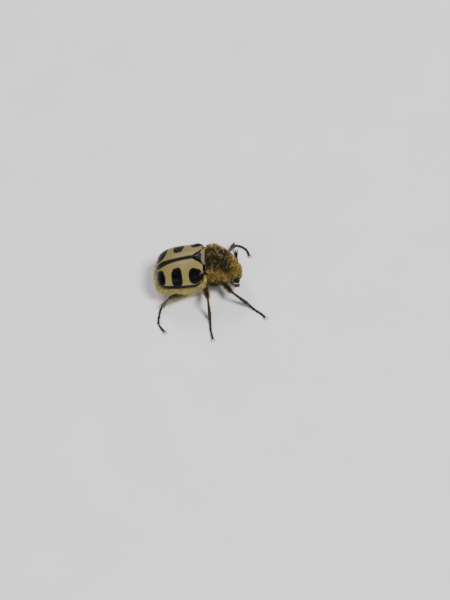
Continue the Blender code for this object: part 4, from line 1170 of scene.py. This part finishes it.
def hairs(grid, weight, count, seed, length, lean=(15, 60), lie=(0, 1, 0), radius=0.016, droop=0.0,
          tangle=0.3, clump=(4, 3, 0.4), segments=3, zone=None, tile=(0.0, 1.0)):
    """Threads rooted on a grid. Point k is point k - 1 plus length / segments along a direction that leans.

    The direction is out * cos(a) + lie * sin(a), and a runs from the first lean to the second, in degrees.
    The result holds the points, faces, values and places on the coat's map.
    """
    dice = np.random.default_rng(seed)
    row, column = scattered(grid, weight, count, dice)
    root, out = sampled(grid, row, column), unit(sampled(outward_normals(grid), row, column))
    lie = sampled(np.broadcast_to(np.asarray(lie, float), grid.shape), row, column)
    wish = unit(lie) + tangle * dice.normal(size=(count, 3))
    wish = unit(wish - out * (wish * out).sum(1, keepdims=True))
    size = sampled(np.broadcast_to(np.asarray(length, float), grid.shape[:2]), row, column)
    size = size * dice.uniform(0.7, 1.2, count)
    wobble = dice.normal(0, 8, count)
    path = [root - out * HAIR_SINK * MM]
    for k in range(segments):
        angle = np.radians(lean[0] + (lean[1] - lean[0]) * k / (segments - 1) + wobble)[:, None]
        step = out * np.cos(angle) + wish * np.sin(angle) - np.array([0, 0, droop * (k + 1) / segments])
        path.append(path[-1] + unit(step) * size[:, None] * MM / segments)
    path = np.stack(path, 1)
    steps = np.linspace(0, 1, segments + 1)
    tone = dice.random(count)
    if clump:
        member, middle = clumped(path[:, -1], row, column, *clump[:2], dice)
        path += (middle - path[:, -1])[:, None] * clump[2] * steps[None, :, None] ** 1.5
        tone = CLUMP_TONE * dice.random(member.max() + 1)[member] + (1 - CLUMP_TONE) * tone
    path[..., 2] = np.maximum(path[..., 2], HAIR_LOWEST * MM)
    flat = unit(np.cross(out, wish))
    points = np.empty((count, 3 * segments + 1, 3))
    for k in range(segments):
        ahead = unit(path[:, k + 1] - path[:, max(k - 1, 0)])
        side = unit(flat - ahead * (flat * ahead).sum(1, keepdims=True))
        other = np.cross(ahead, side)
        thick = radius * (1 - HAIR_TAPER * k / segments) * MM
        for corner in range(3):
            turn = 2 * np.pi * corner / 3
            points[:, 3 * k + corner] = path[:, k] + thick * (side * np.cos(turn) + other * np.sin(turn))
    points[:, -1] = path[:, -1]
    corner, nxt = np.arange(3), (np.arange(3) + 1) % 3
    ring = np.arange(segments - 1)[:, None] * 3
    quads = np.stack([ring + corner, ring + nxt, ring + 3 + nxt, ring + 3 + corner], -1).reshape(-1, 4)
    last = 3 * segments
    tips = np.stack([last - 3 + corner, last - 3 + nxt, np.full(3, last)], -1)
    faces = np.concatenate([tips, [[0, 2, 1]]])
    start = np.arange(count)[:, None, None] * (last + 1)
    along = np.broadcast_to(np.append(np.repeat(steps[:-1], 3), 1.0), (count, last + 1))
    tone = np.broadcast_to(tone[:, None], along.shape)
    zone = np.zeros(count) if zone is None else sampled(np.broadcast_to(zone, grid.shape[:2]), row, column)
    zone = np.broadcast_to(zone[:, None], along.shape)
    place = np.stack([tile[0] + (tile[1] - tile[0]) * row / len(grid), column / grid.shape[1]], 1)
    turn = np.append(np.tile(corner / 3, segments), 0.5)
    patch = np.stack([along[0] - 0.5, turn - 0.5], 1) * PATCH
    uv = np.clip(place[:, None] * (1 - 2 * PATCH) + PATCH + patch, 0, 1)
    faces = ((start + quads).reshape(-1, 4), (start + faces).reshape(-1, 3))
    return points.reshape(-1, 3), *faces, (along.ravel(), tone.ravel(), zone.ravel()), uv.reshape(-1, 2)


def coat(name, sets, material):
    """One coat piece from several sets of hairs."""
    points, quads, triangles = joined([one[:3] for one in sets])
    quads, triangles = outward(points, quads, triangles)
    along, tone, zone = (np.concatenate([one[3][k] for one in sets]) for k in range(3))
    mesh_piece(name, points, quads, triangles, material, {"along": along, "tone": tone, "zone": zone},
               np.concatenate([one[4] for one in sets]))
    print(name, 2 * len(quads) + len(triangles), "triangles")


def coat_material(name, dark, mid, light, second=None, pale=None, pale_from=0.9):
    """Hair colours by tone, with painted shade that darkens each hair towards its root. second is the (dark,
    mid, light) set where the zone is 1.

    Hairs whose tone is over pale_from have pale tips.
    """
    made, tree, shader = new_material(name, 0.5, mid, specular_ior_level=0.35)
    tone = attribute(tree, "tone")
    colour = ramp(tree, tone, [(0.1, dark), (0.5, mid), (0.85, light)])
    if second:
        other = ramp(tree, tone, list(zip((0.1, 0.5, 0.85), second)))
        colour = blend(tree, attribute(tree, "zone"), colour, other)
    if pale:
        tip = remap(tree, attribute(tree, "along"), 0.45, 0.7)
        flecked = sums(tree, "MULTIPLY", remap(tree, tone, pale_from - 0.01, pale_from), tip)
        colour = blend(tree, flecked, colour, pale)
    # Painted shade: each hair darkens towards its root, where the coat shades it.
    shade = remap(tree, attribute(tree, "along"), 0.0, 0.55, 0.8, 0.0)
    tree.links.new(blend(tree, shade, colour, tuple(0.35 * value for value in dark)),
                   shader.inputs["Base Color"])
    return made


print("hair helpers ready")

# %% [markdown]
# The pronotum's coat is the densest and stands up: dark olive in the middle with pale flecks, golden tan
# down the sides and in front. The hairs lean back only a little and tangle, so the outline looks soft. Only
# a short dark fringe covers the rim at the back. Left and right halves are two pieces, to keep each small.

# %% Pronotum coat
def ease(value, low, high):
    """0 below, 1 above, and a smooth S between."""
    share = np.clip((value - low) / (high - low), 0, 1)
    return share * share * (3 - 2 * share)


SKIN_FORWARD = forward_of(SKIN)
SKIN_LEFT = (SKIN[..., 0] - MIDLINE) / MM
TURNS = np.broadcast_to(SKIN_TURNS, SKIN_FORWARD.shape)
FUR_LINE = 0.10
GOLDEN = ((0.085, 0.048, 0.008), (0.31, 0.19, 0.030), (0.58, 0.42, 0.11))
# On the pronotum, the pale tip colour on a few hairs is painted highlight: the glints on hair tips, shown as
# pale flecks.
PRONOTUM_HAIR = coat_material("pronotum_hair", (0.010, 0.0075, 0.002), (0.036, 0.026, 0.006),
                              (0.14, 0.095, 0.022), GOLDEN, (0.80, 0.71, 0.42), 0.84)
CREAM_HAIR = coat_material("cream_hair", (0.30, 0.23, 0.070), (0.57, 0.475, 0.17), (0.75, 0.66, 0.29),
                           pale=(0.80, 0.74, 0.45))

# Each way of growing: lean at the root and the tip in degrees, thickness, pull of gravity, disorder, clumps
ERECT = dict(lean=(4, 42), radius=0.017, droop=0.05, tangle=0.9, clump=(3.4, 2.3, 0.5))
UNDER = dict(lean=(35, 75), radius=0.017, tangle=1.3, clump=(3, 3, 0.4))
FRINGE = dict(lean=(22, 62), radius=0.015, tangle=0.5, clump=(3, 3, 0.4))

chest = SKIN_FORWARD > -0.02
above = ease(np.sin(TURNS), -0.75, 0.1)
zone = np.maximum(ease(np.abs(SKIN_LEFT + 0.15), 1.0, 1.7), 0.8 * ease(SKIN_FORWARD, 2.1, 2.9))
# Painted shade: below the edge of each side the coat takes the dark colours instead of golden tan, because
# the underside lies in shade. The coat is also thinner there.
zone = zone * ease(np.sin(TURNS) + 0.27 * ease(SKIN_FORWARD, 1.4, 2.5), -0.05, 0.25)
weight = chest * (0.2 + 0.8 * above) * ease(SKIN_FORWARD, FUR_LINE, FUR_LINE + 0.12)
length = 0.42 + 0.22 * ease(np.abs(SKIN_LEFT), 0.6, 1.8) - 0.12 * ease(SKIN_FORWARD, 1.6, 2.6)
length = length + 0.32 * ease(SKIN_LEFT, 1.2, 1.9) * (1 - ease(SKIN_FORWARD, 1.0, 1.8))
fringe = ease(SKIN_FORWARD, -0.14, -0.08) * (1 - ease(SKIN_FORWARD, 0.08, 0.16))
fringe = fringe * ease(np.sin(TURNS), 0.15, 0.5)
for name, side in SIDES:
    here = weight * (side * SKIN_LEFT > 0)
    lie = (side * 0.25, 0.8, -0.35)
    erect = hairs(SKIN, here, 6900, 21 + side, length, lie=lie, zone=zone, **ERECT)
    under = hairs(SKIN, here, 3700, 31 + side, length * 0.55, lie=lie, zone=zone, **UNDER)
    short = hairs(SKIN, fringe * (side * SKIN_LEFT > 0), 800, 25 + side, 0.3, **FRINGE)
    coat(f"pronotum_coat_{name}", [erect, under, short], PRONOTUM_HAIR)

# %% [markdown]
# Long cream strands hang from the flanks below the wing cases and stand out behind their tips, and shorter
# ones cover the belly. These are the coats that show under the black margin of the cases in the picture.
# They droop, which is a pull downwards that grows along each strand.

# %% Flank, rear and belly coats
FLANK_LONG = dict(lean=(35, 75), radius=0.018, droop=0.30, tangle=0.28, clump=(7, 3.2, 0.5), segments=4)
FLANK_SHORT = dict(lean=(30, 65), radius=0.017, droop=0.1, tangle=0.5, clump=(5, 3, 0.3))
REAR_LONG = dict(lean=(25, 70), radius=0.018, droop=0.25, tangle=0.35, clump=(5, 5, 0.45), segments=4)
REAR_SHORT = dict(lean=(30, 70), radius=0.017, droop=0.1, tangle=0.6, clump=(4, 4, 0.3))
BELLY = dict(lean=(45, 80), lie=(0, 1, -0.1), tangle=0.45, clump=(5, 3, 0.35))

RISE = np.arcsin(np.sin(TURNS))
trunk = (SKIN_FORWARD < 0.05) & (SKIN_FORWARD > -5.2)
for name, side in SIDES:
    below = RISE < 0.35 * ease(SKIN_FORWARD, -0.7, -0.3) - 0.02
    flank = ease(1.26 - np.abs(RISE), 0, 0.5) * (SKIN_LEFT * side > 0) * below
    shoulder = 1 + 0.9 * ease(SKIN_FORWARD, -1.2, -0.2)
    lie = (side * 0.35, 0.75, -0.7)
    long = hairs(SKIN, trunk * flank * shoulder, 4700, 41 + side, 0.95, lie=lie, **FLANK_LONG)
    short = hairs(SKIN, trunk * flank, 2600, 51 + side, 0.55, lie=lie, **FLANK_SHORT)
    coat(f"flank_coat_{name}", [long, short], CREAM_HAIR)

rear = (SKIN_FORWARD < -5.0) * (1 + ease(-SKIN_FORWARD, 5.7, 5.86))
rear_lie = np.stack([0.3 * SKIN_LEFT, np.ones_like(SKIN_LEFT), -0.55 + 0 * SKIN_LEFT], -1)
long = hairs(SKIN, rear, 4200, 61, 0.72, lie=rear_lie, **REAR_LONG)
short = hairs(SKIN, rear, 3000, 62, 0.42, lie=rear_lie, **REAR_SHORT)
coat("rear_coat", [long, short], CREAM_HAIR)

belly = (trunk | chest) * ease(np.cos(TURNS + np.pi / 2), 0.3, 0.9) * (TURNS < 0)
coat("belly_coat", [hairs(SKIN, belly, 5200, 71, 0.38, **BELLY)], CREAM_HAIR)

# %% [markdown]
# The face has short golden hair that lies forwards and down, with longer hairs standing up through it on the
# forehead. Towards the rim of the clypeus it gets thin and dark, and the rim and the eyes stay bare. The pale
# down on the scutellum's front half is shorter still and lies flat, pointing back.

# %% Face and scutellum coats
FACE_FLAT = dict(lean=(25, 68), lie=(0, -0.5, -0.9), radius=0.013, tangle=0.6)
FACE_ERECT = dict(lean=(0, 32), lie=(0, -0.5, -0.9), radius=0.014, droop=0.02, tangle=1.0, clump=(3, 3, 0.55))
DOWN = dict(lean=(60, 84), lie=(0, 1, 0.1), radius=0.012, tangle=0.25, clump=None)

share = np.broadcast_to(np.linspace(0, 1, HEAD_ROWS)[:, None], HEAD_GRID.shape[:2])
upper = np.sin(HEAD_TURNS)
eyes = np.minimum(eye_distance(HEAD_GRID, -1), eye_distance(HEAD_GRID, 1))
face = ease(upper, -0.4, 0.3) * ease(share, 0.12, 0.3) * (1 - 0.92 * ease(share, 0.55, 0.86)) * (eyes > 0.5)
forehead = ease(upper, 0.0, 0.5) * ease(share, 0.1, 0.2) * (1 - ease(share, 0.5, 0.72)) * (eyes > 0.52)
FACE_HAIR = coat_material("face_hair", (0.10, 0.062, 0.014), (0.27, 0.18, 0.045), (0.47, 0.35, 0.12),
                          ((0.02, 0.013, 0.005), (0.06, 0.04, 0.013), (0.18, 0.13, 0.05)), (0.66, 0.56, 0.25))
zone = ease(share, 0.5, 0.8)
flat = hairs(HEAD_GRID, face, 4600, 81, 0.28 - 0.14 * ease(share, 0.4, 0.9), zone=zone,
             clump=(4, 4, 0.4), **FACE_FLAT)
erect = hairs(HEAD_GRID, forehead, 1500, 82, 0.42 - 0.12 * ease(share, 0.3, 0.6), zone=zone, **FACE_ERECT)
coat("face_coat", [flat, erect], FACE_HAIR)

DOWN_HAIR = coat_material("down_hair", (0.22, 0.18, 0.10), (0.37, 0.32, 0.19), (0.52, 0.47, 0.31))
down = 1 - ease(CASE_BASE + SCUTELLUM_REACH - forward_of(SCUTELLUM), 0.24, 0.36)
down[:, -1] = 0
coat("scutellum_coat", [hairs(SCUTELLUM, down, 3600, 91, 0.12, **DOWN)], DOWN_HAIR)

# %% [markdown]
# The legs carry pale hairs that lie along them, longest on the hind edge of the thighs, and dark bristles
# on the feet. Each limb gets its own strip of the coat's map, so no two limbs share a place on it.

# %% Leg coats
LEG_HAIR = coat_material("leg_hair", (0.15, 0.105, 0.030), (0.37, 0.29, 0.09), (0.60, 0.51, 0.22),
                         pale=(0.76, 0.70, 0.42))
BRISTLE = coat_material("bristle", (0.012, 0.008, 0.005), (0.03, 0.018, 0.010), (0.10, 0.06, 0.03))
LEG_FUR = dict(lean=(30, 62), radius=0.014, droop=0.1, tangle=0.35, clump=(4, 3, 0.3))
FOOT_FUR = dict(lean=(35, 60), radius=0.012, clump=None)


def between_ends(grid, start, stop):
    """1 on a limb's rings, and 0 on its first and last few."""
    inside = np.ones(grid.shape[:2])
    inside[:start] = inside[-stop:] = 0
    return inside


for name, side in SIDES:
    sets, bristles = [], []
    for order, key in enumerate(key for key in LEGS if key.endswith(name)):
        femur, tibia, foot = LEG_GRIDS[key]
        for number, (grid, count, size) in enumerate(((femur, 620, 0.36), (tibia, 300, 0.24))):
            tile = ((order * 2 + number) / 6, (order * 2 + number + 1) / 6)
            edge = ease(-outward_normals(grid)[..., 2], -0.5, 0.9)
            weight = between_ends(grid, 4, 5) * (0.15 + edge)
            sets.append(hairs(grid, weight, count, 101 + 10 * order + number + side,
                              size * (0.55 + 0.6 * edge), lie=np.gradient(grid, axis=0), tile=tile,
                              **LEG_FUR))
        bristles.append(hairs(foot, between_ends(foot, 3, 6), 190, 151 + order + side, 0.17,
                              lie=np.gradient(foot, axis=0), tile=(order / 3, (order + 1) / 3), **FOOT_FUR))
    coat(f"leg_coat_{name}", sets, LEG_HAIR)
    coat(f"foot_bristles_{name}", bristles, BRISTLE)
